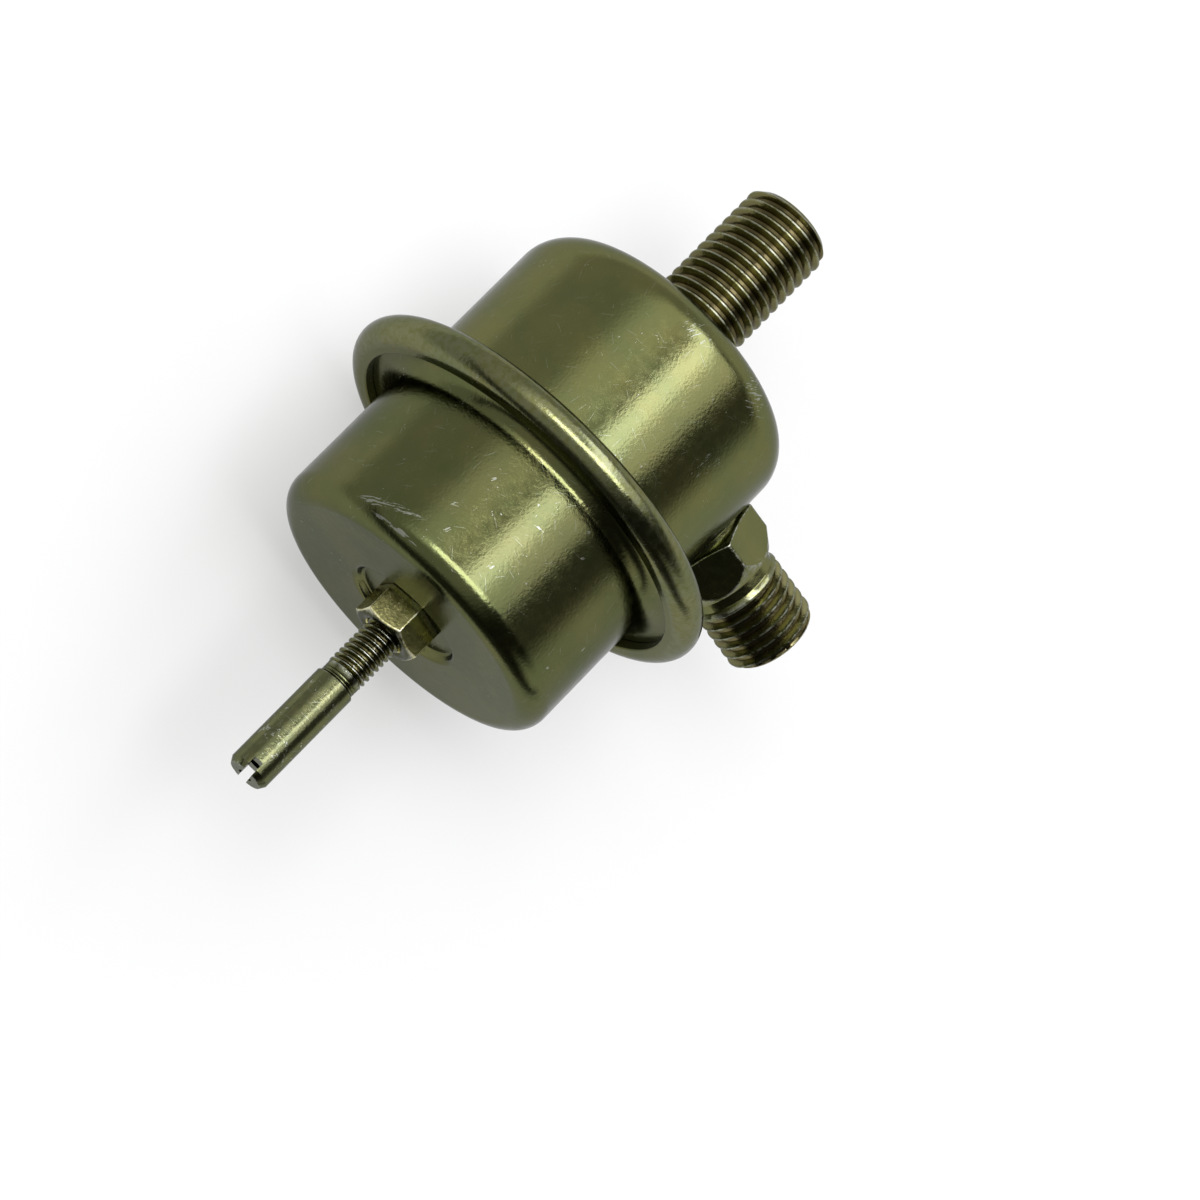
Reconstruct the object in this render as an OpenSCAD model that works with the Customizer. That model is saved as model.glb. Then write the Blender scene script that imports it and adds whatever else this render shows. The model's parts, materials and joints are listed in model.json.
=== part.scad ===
// Adjustable fuel pressure regulator: two drawn cups joined by a rolled rim, with a diaphragm between them.
// X runs along the main axis towards the adjusting screw, Y along the inlet fitting and Z up.
// The origin is on the main axis, on the end face of the fuel housing where the return stud stands.

/* [Housings] */
// Outside diameter of the fuel housing
fuel_housing_d = 39.1; // [34:0.1:43]
// Length of the fuel housing, from its end face to the underside of the rim
fuel_housing_len = 23.2; // [21:0.1:34]
// Outside radius of the fuel housing's end corner
fuel_corner_r = 5.1; // [2:0.1:7]
// Sheet thickness of the fuel housing
fuel_sheet = 1.3; // [0.8:0.05:1.6]
// Fillet between the fuel housing's wall and its rim
fuel_fillet_r = 1.5; // [0.8:0.1:3]
// Outside diameter of the spring housing
spring_housing_d = 39.6; // [35:0.1:44]
// Length of the spring housing, from its flange to its end face
spring_housing_len = 20.25; // [18:0.05:30]
// Outside radius of the spring housing's end corner
spring_corner_r = 2.9; // [2:0.1:6]
// Sheet thickness of the spring housing
spring_sheet = 1.2; // [0.8:0.05:1.6]
// Fillet between the spring housing's wall and its flange
spring_fillet_r = 2.2; // [1:0.1:3.2]
// Distance that the rolled rim stands out from the spring housing's wall
rim_reach = 6.7; // [5.8:0.1:10]
// Width of the rolled lip, from the rim's outside to the lip's edge
lip_w = 3.3; // [2.8:0.1:4.4]

/* [Diaphragm and valve] */
// Thickness of the diaphragm
diaphragm_t = 0.6; // [0.4:0.05:1]
// Height of the diaphragm's round convolution
convolution_h = 1.4; // [0.8:0.1:2]
// Diameter of the plate and of the spring cup, which hold the diaphragm between them
plate_d = 26; // [20:0.5:30]
// Thickness of the plate
plate_t = 1.2; // [0.8:0.1:1.6]
// Thickness of the spring cup
cup_sheet = 1.2; // [0.8:0.1:1.6]
// Height of the spring cup's rim
cup_rim_h = 3; // [2:0.1:5]
// Diameter of the valve holder
holder_d = 12.6; // [11.5:0.1:14]
// Length of the valve holder below the plate
holder_len = 4.3; // [4.2:0.1:6]
// Diameter of the valve holder's riveted stem
stem_d = 5; // [4:0.1:6]
// Diameter of the rivet head
rivet_head_d = 8; // [7:0.1:10]
// Height of the rivet head
rivet_head_h = 1; // [0.6:0.1:1.6]
// Diameter of the pocket for the valve disc
pocket_d = 10; // [9.5:0.1:10.4]
// Diameter of the valve disc's face
disc_face_d = 7.4; // [6.6:0.1:7.6]
// Thickness of the valve disc's rim
disc_rim_t = 0.9; // [0.6:0.1:1]
// Distance that the valve disc stands out of its holder
disc_stand = 0.4; // [0.2:0.05:1]
// Thickness of the retaining ring
retainer_t = 0.5; // [0.3:0.05:0.8]
// Diameter of the aligning ball
ball_d = 3; // [2:0.1:3.2]

/* [Ports] */
// Major diameter of the return and inlet threads, M12 less its tolerance
port_thread_d = 11.9; // [11:0.1:12.3]
// Chamfer at the threads' ends
port_chamfer = 0.8; // [0.4:0.1:1.2]
// Bore of the ports
port_bore_d = 6; // [5.4:0.1:6.6]
// Mouth diameter of the ports' sealing cones
cone_mouth_d = 9; // [8:0.1:9.2]
// Full angle of the ports' sealing cones
cone_angle = 60; // [45:1:75]
// Length of the return stud
stud_len = 21.5; // [16:0.5:30]
// Width of the return stud's shoulder in the fuel housing's sheet
stud_shoulder = 0.5; // [0.4:0.1:1]
// Diameter of the inlet's spigot in the fuel housing's sheet
spigot_d = 10; // [9:0.1:10.4]
// Outside diameter of the seat tube
seat_tube_d = 8; // [7.2:0.1:8.4]
// Bore of the seat tube
seat_bore_d = 5; // [4:0.1:5.6]
// Depth of the seat tube in the return stud
seat_tube_grip = 8; // [5:0.5:10]
// Distance of the inlet's axis from the fuel housing's end face
inlet_offset = 11.6; // [11.2:0.1:14.5]
// Width across the flats of the inlet's hexagon
inlet_hex_af = 13; // [13:0.5:15]
// Length of the inlet's hexagon
inlet_hex_len = 6.05; // [4.5:0.05:8]
// Turn of the inlet's hexagon about its axis
inlet_hex_turn = 3; // [0:1:60]
// Gap between the fuel housing's wall and the hexagon
inlet_stand = 0.1; // [0.1:0.1:2]
// Length of the plain neck between the hexagon and the thread
inlet_neck_len = 2.25; // [2:0.05:5]
// Length of the inlet's thread
inlet_thread_len = 8.75; // [6:0.25:14]

/* [Adjuster] */
// Major diameter of the adjusting screw's thread, M5 less its tolerance
screw_thread_d = 4.95; // [4:0.05:5.2]
// Diameter of the screw's plain end, the vacuum nipple
nipple_d = 5.25; // [5:0.05:6.5]
// Length of the screw's plain end
nipple_len = 15.1; // [10:0.1:20]
// Distance of the screw's tip from the spring housing's end face
screw_reach = 26.4; // [24:0.1:34]
// Length of the chamfer at the screw's tip
tip_chamfer = 0.75; // [0.4:0.05:1]
// Amount that the tip's chamfer takes off the screw's radius
tip_taper = 0.45; // [0.2:0.05:0.8]
// Bore of the vacuum passage
vacuum_bore_d = 1.8; // [1.2:0.1:2.2]
// Width of the screwdriver slot
slot_w = 1.2; // [0.8:0.1:1.6]
// Depth of the screwdriver slot
slot_depth = 1.8; // [1:0.1:2.5]
// Turn of the slot about the screw, from the inlet's side
slot_turn = 116; // [0:1:180]
// Width across the flats of the lock nut
nut_af = 8; // [8:0.5:10]
// Height of the lock nut
nut_h = 4.4; // [2.7:0.1:5]
// Turn of the lock nut about the screw
nut_turn = 12; // [0:1:60]
// Diameter of the recess round the lock nut
recess_d = 15; // [13.5:0.5:18]
// Depth of that recess
recess_depth = 1; // [0.3:0.1:1.3]
// Width of the recess's sloping side
recess_side = 0.5; // [0.3:0.1:1]
// Diameter of the threaded bush
bush_d = 12.6; // [10:0.2:13]
// Length of the threaded bush below the sheet
bush_len = 4.5; // [3:0.1:5]
// Wall of the bush's staked spigot
bush_wall = 1.1; // [0.8:0.1:1.6]

/* [Spring] */
// Wire diameter of the main spring
wire_d = 2.4; // [1.6:0.1:2.6]
// Mean coil diameter of the main spring
coil_d = 21.2; // [18.6:0.1:23]
// Turns of the main spring
coil_turns = 3.75; // [3:0.25:4]
// Sheet thickness of the spring seat
seat_sheet = 1.5; // [1:0.1:2]
// Room between the spring seat's ring and the housing's end
seat_room = 2.9; // [2.5:0.1:4]
// Room between the bush and the spring seat's centre, for the adjustment
adjust_room = 2.6; // [2.2:0.1:3.5]

/* [Hidden] */
$fn = 96;

// Clearances
braze_gap = 0.05;
thread_play = 0.05;
loose_play = 0.1;
spring_play = 0.2;
cut = 1;

// Radii
fuel_r = fuel_housing_d / 2;
spring_r = spring_housing_d / 2;
rim_r = spring_r + rim_reach;
lip_r = rim_r - lip_w;
port_r = port_thread_d / 2;
stud_shank_r = port_r + stud_shoulder;
spigot_r = spigot_d / 2;
screw_r = screw_thread_d / 2;
nipple_r = nipple_d / 2;
stem_r = stem_d / 2;
bush_spigot_r = screw_r + thread_play + bush_wall;
recess_r = recess_d / 2;

// Stations along X, from the fuel housing's end face
rim_x0 = fuel_housing_len;
clamp_x0 = rim_x0 + fuel_sheet;
clamp_x1 = clamp_x0 + diaphragm_t;
flange_x = clamp_x1 + spring_sheet;
rim_x1 = flange_x + fuel_sheet;
rim_mid = (rim_x0 + rim_x1) / 2;
rim_half = (rim_x1 - rim_x0) / 2;
clamp_r = rim_r - rim_half;
end_x = flange_x + spring_housing_len;
recess_x = end_x - recess_depth;
bush_x1 = recess_x - spring_sheet;
bush_x0 = bush_x1 - bush_len;
tip_x = end_x + screw_reach;
nipple_x = tip_x - nipple_len;

// Valve stack, from the diaphragm down to the seat
plate_x = clamp_x0 - plate_t;
holder_x = plate_x - holder_len;
seat_x = holder_x - disc_stand;
disc_rim_x = holder_x + retainer_t + loose_play;
pocket_x = disc_rim_x + disc_rim_t + 2 * loose_play;
pocket_r = pocket_d / 2;
ball_r = ball_d / 2;
ball_x = pocket_x + ball_r / 3;
cup_x = clamp_x1 + cup_sheet;

// Spring and its seat
spring_outer_r = (coil_d + wire_d) / 2;
spring_core_r = (coil_d - wire_d) / 2 - spring_play;
ring_x1 = end_x - spring_sheet - seat_room;
ring_x0 = ring_x1 - seat_sheet;
seat_centre_x = bush_x0 - adjust_room;
seat_bend_r = seat_sheet;

finish_plated = [0.55, 0.53, 0.35];
finish_brass = [0.72, 0.6, 0.33];
finish_steel = [0.6, 0.61, 0.62];
finish_rubber = [0.12, 0.12, 0.12];

// Points of a circular arc, in degrees
function arc(centre, r, from, to, steps = 10) =
  [for (i = [0 : steps]) let (a = from + (to - from) * i / steps) centre + r * [cos(a), sin(a)]];

// A profile of [radius, station] points turned about the X axis
module turned(profile) {
  rotate([0, 90, 0])
    rotate_extrude()
      polygon(profile);
}

// A rod along X between two stations
module rod(r, x0, x1) {
  translate([x0, 0, 0])
    rotate([0, 90, 0])
      cylinder(r = r, h = x1 - x0);
}

// A hexagonal bar along Z, corners on the Y axis, with a turned chamfer at each end.
// Each chamfer has an angle from the end face and the radius of what is left of that face.
module chamfered_hexagon(af, height, low_angle, low_r, high_angle, high_r) {
  corner_r = af / sqrt(3);
  low_drop = (corner_r - low_r) * tan(low_angle);
  high_drop = (corner_r - high_r) * tan(high_angle);
  intersection() {
    rotate([0, 0, 30])
      cylinder(r = corner_r, h = height, $fn = 6);
    rotate_extrude()
      polygon([
        [0, 0], [low_r, 0], [corner_r, low_drop],
        [corner_r, height - high_drop], [high_r, height], [0, height]
      ]);
  }
}

module fuel_housing() {
  corner = [fuel_r - fuel_corner_r, fuel_corner_r];
  bend = [fuel_r + fuel_fillet_r, rim_x0 - fuel_fillet_r];
  roll = [clamp_r, rim_mid];
  stud_hole_r = stud_shank_r + braze_gap;
  inlet_hole_r = spigot_r + braze_gap;
  profile = concat(
    [[stud_hole_r, 0]],
    arc(corner, fuel_corner_r, -90, 0),
    arc(bend, fuel_fillet_r, 180, 90),
    arc(roll, rim_half, -90, 90),
    [[lip_r, rim_x1], [lip_r, flange_x]],
    arc(roll, rim_half - fuel_sheet, 90, -90),
    arc(bend, fuel_fillet_r + fuel_sheet, 90, 180),
    arc(corner, fuel_corner_r - fuel_sheet, 0, -90),
    [[stud_hole_r, fuel_sheet]]
  );
  color(finish_plated)
    difference() {
      turned(profile);
      translate([inlet_offset, 0, 0])
        rotate([-90, 0, 0])
          cylinder(r = inlet_hole_r, h = fuel_r + cut);
    }
}

module spring_housing() {
  corner = [spring_r - spring_corner_r, end_x - spring_corner_r];
  bend = [spring_r + spring_fillet_r, flange_x + spring_fillet_r];
  hole_r = bush_spigot_r + braze_gap;
  side_angle = atan(recess_depth / recess_side);
  side_shift = spring_sheet * tan(side_angle / 2);
  inner_x = end_x - spring_sheet;
  profile = concat(
    [[hole_r, recess_x], [recess_r - recess_side, recess_x], [recess_r, end_x]],
    arc(corner, spring_corner_r, 90, 0),
    arc(bend, spring_fillet_r, 180, 270),
    [[clamp_r, flange_x], [clamp_r, clamp_x1]],
    arc(bend, spring_fillet_r + spring_sheet, 270, 180),
    arc(corner, spring_corner_r - spring_sheet, 0, 90),
    [[recess_r + side_shift, inner_x], [recess_r - recess_side + side_shift, bush_x1], [hole_r, bush_x1]]
  );
  color(finish_plated)
    turned(profile);
}

// The sealing cone and bore of a port, as a profile that is cut from the port's end at station 0 inwards
function port_cut(length) = let (
  bore_r = port_bore_d / 2,
  mouth_r = cone_mouth_d / 2,
  cone_depth = (mouth_r - bore_r) / tan(cone_angle / 2)
) [[0, -cut], [mouth_r, -cut], [mouth_r, 0], [bore_r, cone_depth], [bore_r, length], [0, length]];

// The stud goes through the sheet from inside, where its head is brazed on
module return_stud() {
  head_w = 0.9;
  head_h = 1;
  head_bevel = 0.4;
  head_r = stud_shank_r + head_w;
  head_x = fuel_sheet + head_h;
  color(finish_plated)
    difference() {
      turned([
        [0, -stud_len], [port_r - port_chamfer, -stud_len], [port_r, port_chamfer - stud_len],
        [port_r, 0], [stud_shank_r, 0], [stud_shank_r, fuel_sheet], [head_r, fuel_sheet],
        [head_r - head_bevel, head_x], [0, head_x]
      ]);
      translate([-stud_len, 0, 0])
        turned(port_cut(stud_len));
      rod(seat_tube_d / 2, -seat_tube_grip, head_x + cut);
    }
}

module seat_tube() {
  color(finish_steel)
    difference() {
      rod(seat_tube_d / 2, -seat_tube_grip, seat_x);
      rod(seat_bore_d / 2, -seat_tube_grip - cut, seat_x + cut);
    }
}

module inlet_fitting() {
  inner_stand = 1.5;
  collar_w = 1;
  waist_depth = 0.35;
  waist_rise = 0.6;
  inner_y = fuel_r - fuel_sheet - inner_stand;
  hex_y = fuel_r + inlet_stand;
  neck_y = hex_y + inlet_hex_len;
  thread_y = neck_y + inlet_neck_len;
  tip_y = thread_y + inlet_thread_len;
  waist_r = port_r - waist_depth;
  back_angle = 20;
  back_r = 0.97 * inlet_hex_af / 2;
  front_angle = 64;
  front_r = 0.985 * inlet_hex_af / 2;
  // Stations inside the hexagon where the collar and the neck run into it
  collar_end = hex_y + inlet_hex_len / 2;
  neck_start = hex_y + inlet_hex_len / 4;
  color(finish_plated)
    translate([inlet_offset, 0, 0])
      rotate([-90, 0, 0])
        difference() {
          union() {
            translate([0, 0, inner_y])
              cylinder(r = spigot_r, h = collar_end - inner_y);
            difference() {
              translate([0, 0, inner_y])
                cylinder(r = spigot_r + collar_w, h = collar_end - inner_y);
              rotate([0, 90, 0])
                cylinder(r = fuel_r + braze_gap, h = 2 * fuel_housing_len, center = true);
            }
            translate([0, 0, hex_y])
              rotate([0, 0, inlet_hex_turn])
                chamfered_hexagon(inlet_hex_af, inlet_hex_len, back_angle, back_r, front_angle, front_r);
            rotate_extrude()
              polygon([
                [0, neck_start], [waist_r, neck_start], [waist_r, thread_y - waist_rise], [port_r, thread_y],
                [port_r, tip_y - port_chamfer], [port_r - port_chamfer, tip_y], [0, tip_y]
              ]);
          }
          translate([0, 0, tip_y])
            mirror([0, 0, 1])
              rotate_extrude()
                polygon(port_cut(tip_y));
        }
}

module diaphragm() {
  inner_r = plate_d / 2 + loose_play;
  outer_r = min(fuel_r - fuel_sheet, spring_r - spring_sheet) - loose_play;
  span = (outer_r - inner_r) / 2;
  middle = inner_r + span;
  steps = 16;
  function wave(base) = [
    for (i = [0 : steps]) let (a = 180 * i / steps) [middle - span * cos(a), base + convolution_h * sin(a)]
  ];
  hole_r = stem_r + loose_play;
  top = wave(clamp_x1);
  color(finish_rubber)
    turned(concat(
      [[hole_r, clamp_x0]],
      wave(clamp_x0),
      [[clamp_r, clamp_x0], [clamp_r, clamp_x1]],
      [for (i = [0 : steps]) top[steps - i]],
      [[hole_r, clamp_x1]]
    ));
}

module fuel_side_plate() {
  plate_r = plate_d / 2;
  edge_r = plate_t / 2;
  color(finish_steel)
    turned(concat(
      [[stem_r, plate_x]],
      arc([plate_r - edge_r, plate_x + edge_r], edge_r, -90, 90),
      [[stem_r, clamp_x0]]
    ));
}

// A disc that backs the diaphragm, with a rim that centres the spring from inside
module spring_cup() {
  disc_r = plate_d / 2;
  edge_r = cup_sheet / 2;
  rim_edge = 0.4;
  rim_inner_r = spring_core_r - cup_sheet;
  rim_top_x = cup_x + cup_rim_h;
  color(finish_steel)
    turned(concat(
      [[stem_r, clamp_x1]],
      arc([disc_r - edge_r, clamp_x1 + edge_r], edge_r, -90, 90),
      [
        [spring_core_r, cup_x], [spring_core_r, rim_top_x - rim_edge],
        [spring_core_r - rim_edge, rim_top_x], [rim_inner_r, rim_top_x], [rim_inner_r, cup_x], [stem_r, cup_x]
      ]
    ));
}

module valve_holder() {
  holder_r = holder_d / 2;
  edge = 0.5;
  head_x = cup_x + rivet_head_h;
  color(finish_brass)
    difference() {
      turned([
        [0, holder_x], [holder_r - edge, holder_x], [holder_r, holder_x + edge], [holder_r, plate_x],
        [stem_r, plate_x], [stem_r, cup_x], [rivet_head_d / 2, cup_x],
        [rivet_head_d / 2 - edge, head_x], [0, head_x]
      ]);
      rod(pocket_r, holder_x - cut, pocket_x);
      rod(ball_r + loose_play, pocket_x - cut, ball_x + ball_r + loose_play);
    }
}

module valve_ball() {
  color(finish_steel)
    translate([ball_x, 0, 0])
      sphere(r = ball_r);
}

module valve_disc() {
  face_r = disc_face_d / 2;
  rim_outer_r = pocket_r - 3 * loose_play;
  color(finish_steel)
    difference() {
      turned([
        [0, seat_x], [face_r, seat_x], [face_r, disc_rim_x], [rim_outer_r, disc_rim_x],
        [rim_outer_r, disc_rim_x + disc_rim_t], [0, disc_rim_x + disc_rim_t]
      ]);
      translate([ball_x, 0, 0])
        sphere(r = ball_r + loose_play / 2);
    }
}

module valve_retainer() {
  color(finish_brass)
    difference() {
      rod(pocket_r, holder_x, holder_x + retainer_t);
      rod(disc_face_d / 2 + 2 * loose_play, holder_x - cut, holder_x + retainer_t + cut);
    }
}

// Round wire along a helix whose end turns lie close and whose middle turns are open
module main_spring() {
  sides = 10;
  steps_per_turn = 28;
  dead_turns = 0.75;
  wire_r = wire_d / 2;
  first_x = cup_x + wire_r + loose_play;
  last_x = ring_x0 - wire_r - loose_play;
  dead_rise = dead_turns * (wire_d + loose_play);
  open_rise = last_x - first_x - 2 * dead_rise;
  open_turns = coil_turns - 2 * dead_turns;
  steps = ceil(coil_turns * steps_per_turn);
  function rise(turn) =
    turn < dead_turns ? dead_rise * turn / dead_turns
    : turn > coil_turns - dead_turns ? dead_rise + open_rise
      + dead_rise * (turn - coil_turns + dead_turns) / dead_turns
    : dead_rise + open_rise * (turn - dead_turns) / open_turns;
  rings = [
    for (i = [0 : steps])
      let (turn = coil_turns * i / steps, a = 360 * turn)
        [for (k = [0 : sides - 1])
          let (b = 360 * k / sides, r = coil_d / 2 + wire_r * cos(b))
            [first_x + rise(turn) + wire_r * sin(b), r * cos(a), r * sin(a)]]
  ];
  points = [for (ring = rings) for (point = ring) point];
  sleeve = [
    for (i = [0 : steps - 1])
      for (k = [0 : sides - 1])
        let (n = (k + 1) % sides)
          [i * sides + k, i * sides + n, (i + 1) * sides + n, (i + 1) * sides + k]
  ];
  first_end = [for (k = [0 : sides - 1]) sides - 1 - k];
  last_end = [for (k = [0 : sides - 1]) steps * sides + k];
  color(finish_steel)
    polyhedron(points, concat(sleeve, [first_end, last_end]), convexity = 8);
}

// A hat: its outer ring carries the spring and its sunk centre meets the adjusting screw
module spring_seat() {
  ring_r = spring_outer_r + spring_play;
  centre_x0 = seat_centre_x - seat_sheet;
  inner_r = spring_core_r - seat_sheet;
  low = [spring_core_r - 2 * seat_bend_r, centre_x0 + 2 * seat_bend_r];
  color(finish_steel)
    turned(concat(
      [[0, centre_x0]],
      arc(low, 2 * seat_bend_r, -90, 0),
      [[spring_core_r, ring_x0], [ring_r, ring_x0], [ring_r, ring_x1], [inner_r, ring_x1]],
      arc(low, seat_bend_r, 0, -90),
      [[0, seat_centre_x]]
    ));
}

module threaded_bush() {
  bush_r = bush_d / 2;
  edge = 0.6;
  color(finish_brass)
    difference() {
      turned([
        [0, bush_x0], [bush_r - edge, bush_x0], [bush_r, bush_x0 + edge], [bush_r, bush_x1],
        [bush_spigot_r, bush_x1], [bush_spigot_r, recess_x], [0, recess_x]
      ]);
      rod(screw_r + thread_play, bush_x0 - cut, recess_x + cut);
    }
}

module adjusting_screw() {
  nose_chamfer = 0.8;
  relief_w = 1.4;
  relief_depth = 0.12;
  shank_edge = 0.25;
  relief_r = screw_r - relief_depth;
  cross_hole_x = seat_centre_x + adjust_room / 2;
  color(finish_plated)
    difference() {
      turned([
        [0, seat_centre_x], [screw_r - nose_chamfer, seat_centre_x], [screw_r, seat_centre_x + nose_chamfer],
        [screw_r, nipple_x - relief_w], [relief_r, nipple_x - relief_w], [relief_r, nipple_x],
        [nipple_r - shank_edge, nipple_x], [nipple_r, nipple_x + shank_edge],
        [nipple_r, tip_x - tip_chamfer], [nipple_r - tip_taper, tip_x], [0, tip_x]
      ]);
      rod(vacuum_bore_d / 2, cross_hole_x, tip_x + cut);
      translate([cross_hole_x, 0, 0])
        cylinder(r = vacuum_bore_d / 2, h = screw_thread_d + cut, center = true);
      rotate([slot_turn, 0, 0])
        translate([tip_x - slot_depth, -nipple_d, -slot_w / 2])
          cube([slot_depth + cut, 2 * nipple_d, slot_w]);
    }
}

// Its chamfer is on the outer face only, and its plain face sits in the recess
module lock_nut() {
  countersink = 0.35;
  chamfer_angle = 30;
  face_r = 0.95 * nut_af / 2;
  bore_r = screw_r + thread_play;
  color(finish_plated)
    difference() {
      translate([recess_x, 0, 0])
        rotate([nut_turn, 0, 0])
          rotate([0, 90, 0])
            rotate([0, 0, 30])
              chamfered_hexagon(nut_af, nut_h, 0, face_r, chamfer_angle, face_r);
      rod(bore_r, recess_x - cut, recess_x + nut_h + cut);
      turned([
        [0, recess_x + nut_h - countersink], [bore_r, recess_x + nut_h - countersink],
        [bore_r + countersink, recess_x + nut_h], [bore_r + countersink, recess_x + nut_h + cut],
        [0, recess_x + nut_h + cut]
      ]);
    }
}

fuel_housing();
spring_housing();
return_stud();
seat_tube();
inlet_fitting();
diaphragm();
fuel_side_plate();
spring_cup();
valve_holder();
valve_ball();
valve_disc();
valve_retainer();
main_spring();
spring_seat();
threaded_bush();
adjusting_screw();
lock_nut();
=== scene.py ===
"""Looks of an adjustable fuel pressure regulator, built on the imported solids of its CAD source.

Sizes are in millimetres up to the point where a mesh is made, and in metres from there on. Every turned
piece is made about a local X axis and then moved to its own spindle.
"""

import json
import logging
import math
from dataclasses import dataclass, field
from enum import Enum
from typing import Any, Callable, Sequence

import bmesh
import bpy
from bpy.types import Material, Mesh, Node, NodeSocket, NodeTree, Object
from mathutils import Matrix, Vector

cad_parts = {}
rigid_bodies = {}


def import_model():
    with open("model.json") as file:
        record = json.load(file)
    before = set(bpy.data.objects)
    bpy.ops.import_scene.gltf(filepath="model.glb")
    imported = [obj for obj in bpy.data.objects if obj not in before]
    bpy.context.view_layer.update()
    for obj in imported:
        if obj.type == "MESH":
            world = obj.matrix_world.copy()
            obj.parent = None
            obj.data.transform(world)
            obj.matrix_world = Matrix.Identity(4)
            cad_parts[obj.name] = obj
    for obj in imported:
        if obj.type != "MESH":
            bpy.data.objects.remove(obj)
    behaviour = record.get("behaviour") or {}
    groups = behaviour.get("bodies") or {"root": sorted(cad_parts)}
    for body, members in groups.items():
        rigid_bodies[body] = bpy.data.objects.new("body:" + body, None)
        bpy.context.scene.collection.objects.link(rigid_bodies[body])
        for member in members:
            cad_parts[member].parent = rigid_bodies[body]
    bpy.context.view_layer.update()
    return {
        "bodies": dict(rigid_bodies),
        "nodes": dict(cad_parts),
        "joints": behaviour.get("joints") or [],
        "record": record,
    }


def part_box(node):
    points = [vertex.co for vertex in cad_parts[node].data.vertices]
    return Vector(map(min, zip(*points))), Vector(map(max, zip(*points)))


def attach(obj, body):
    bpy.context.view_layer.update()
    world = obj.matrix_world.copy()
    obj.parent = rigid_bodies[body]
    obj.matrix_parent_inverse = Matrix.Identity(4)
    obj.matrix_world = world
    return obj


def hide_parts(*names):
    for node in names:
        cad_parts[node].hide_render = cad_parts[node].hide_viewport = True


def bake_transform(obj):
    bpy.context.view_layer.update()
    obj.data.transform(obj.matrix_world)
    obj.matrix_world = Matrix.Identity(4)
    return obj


LOG = logging.getLogger("regulator")
MM = 0.001
WELD = 1.0e-7

Colour = tuple[float, float, float]
Triple = tuple[float, float, float]
Span = tuple[float, float]
Row = tuple[float, float, float]
Rows = list[Row]


class Body(Enum):
    """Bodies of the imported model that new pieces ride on."""

    HOUSING = "housing"
    VALVE = "valve"
    SEAT = "spring_seat"
    SCREW = "adjusting_screw"
    NUT = "lock_nut"


class Slot(Enum):
    """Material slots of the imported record."""

    HOUSING = "housing_plating"
    PORT = "port_plating"
    ADJUSTER = "adjuster_plating"
    STEEL = "bright_steel"
    SPRING = "spring_steel"
    BRASS = "brass"
    RUBBER = "diaphragm_rubber"


class Spindle(Enum):
    """Lines that pieces are turned about."""

    MAIN = "main"
    INLET = "inlet"


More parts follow.
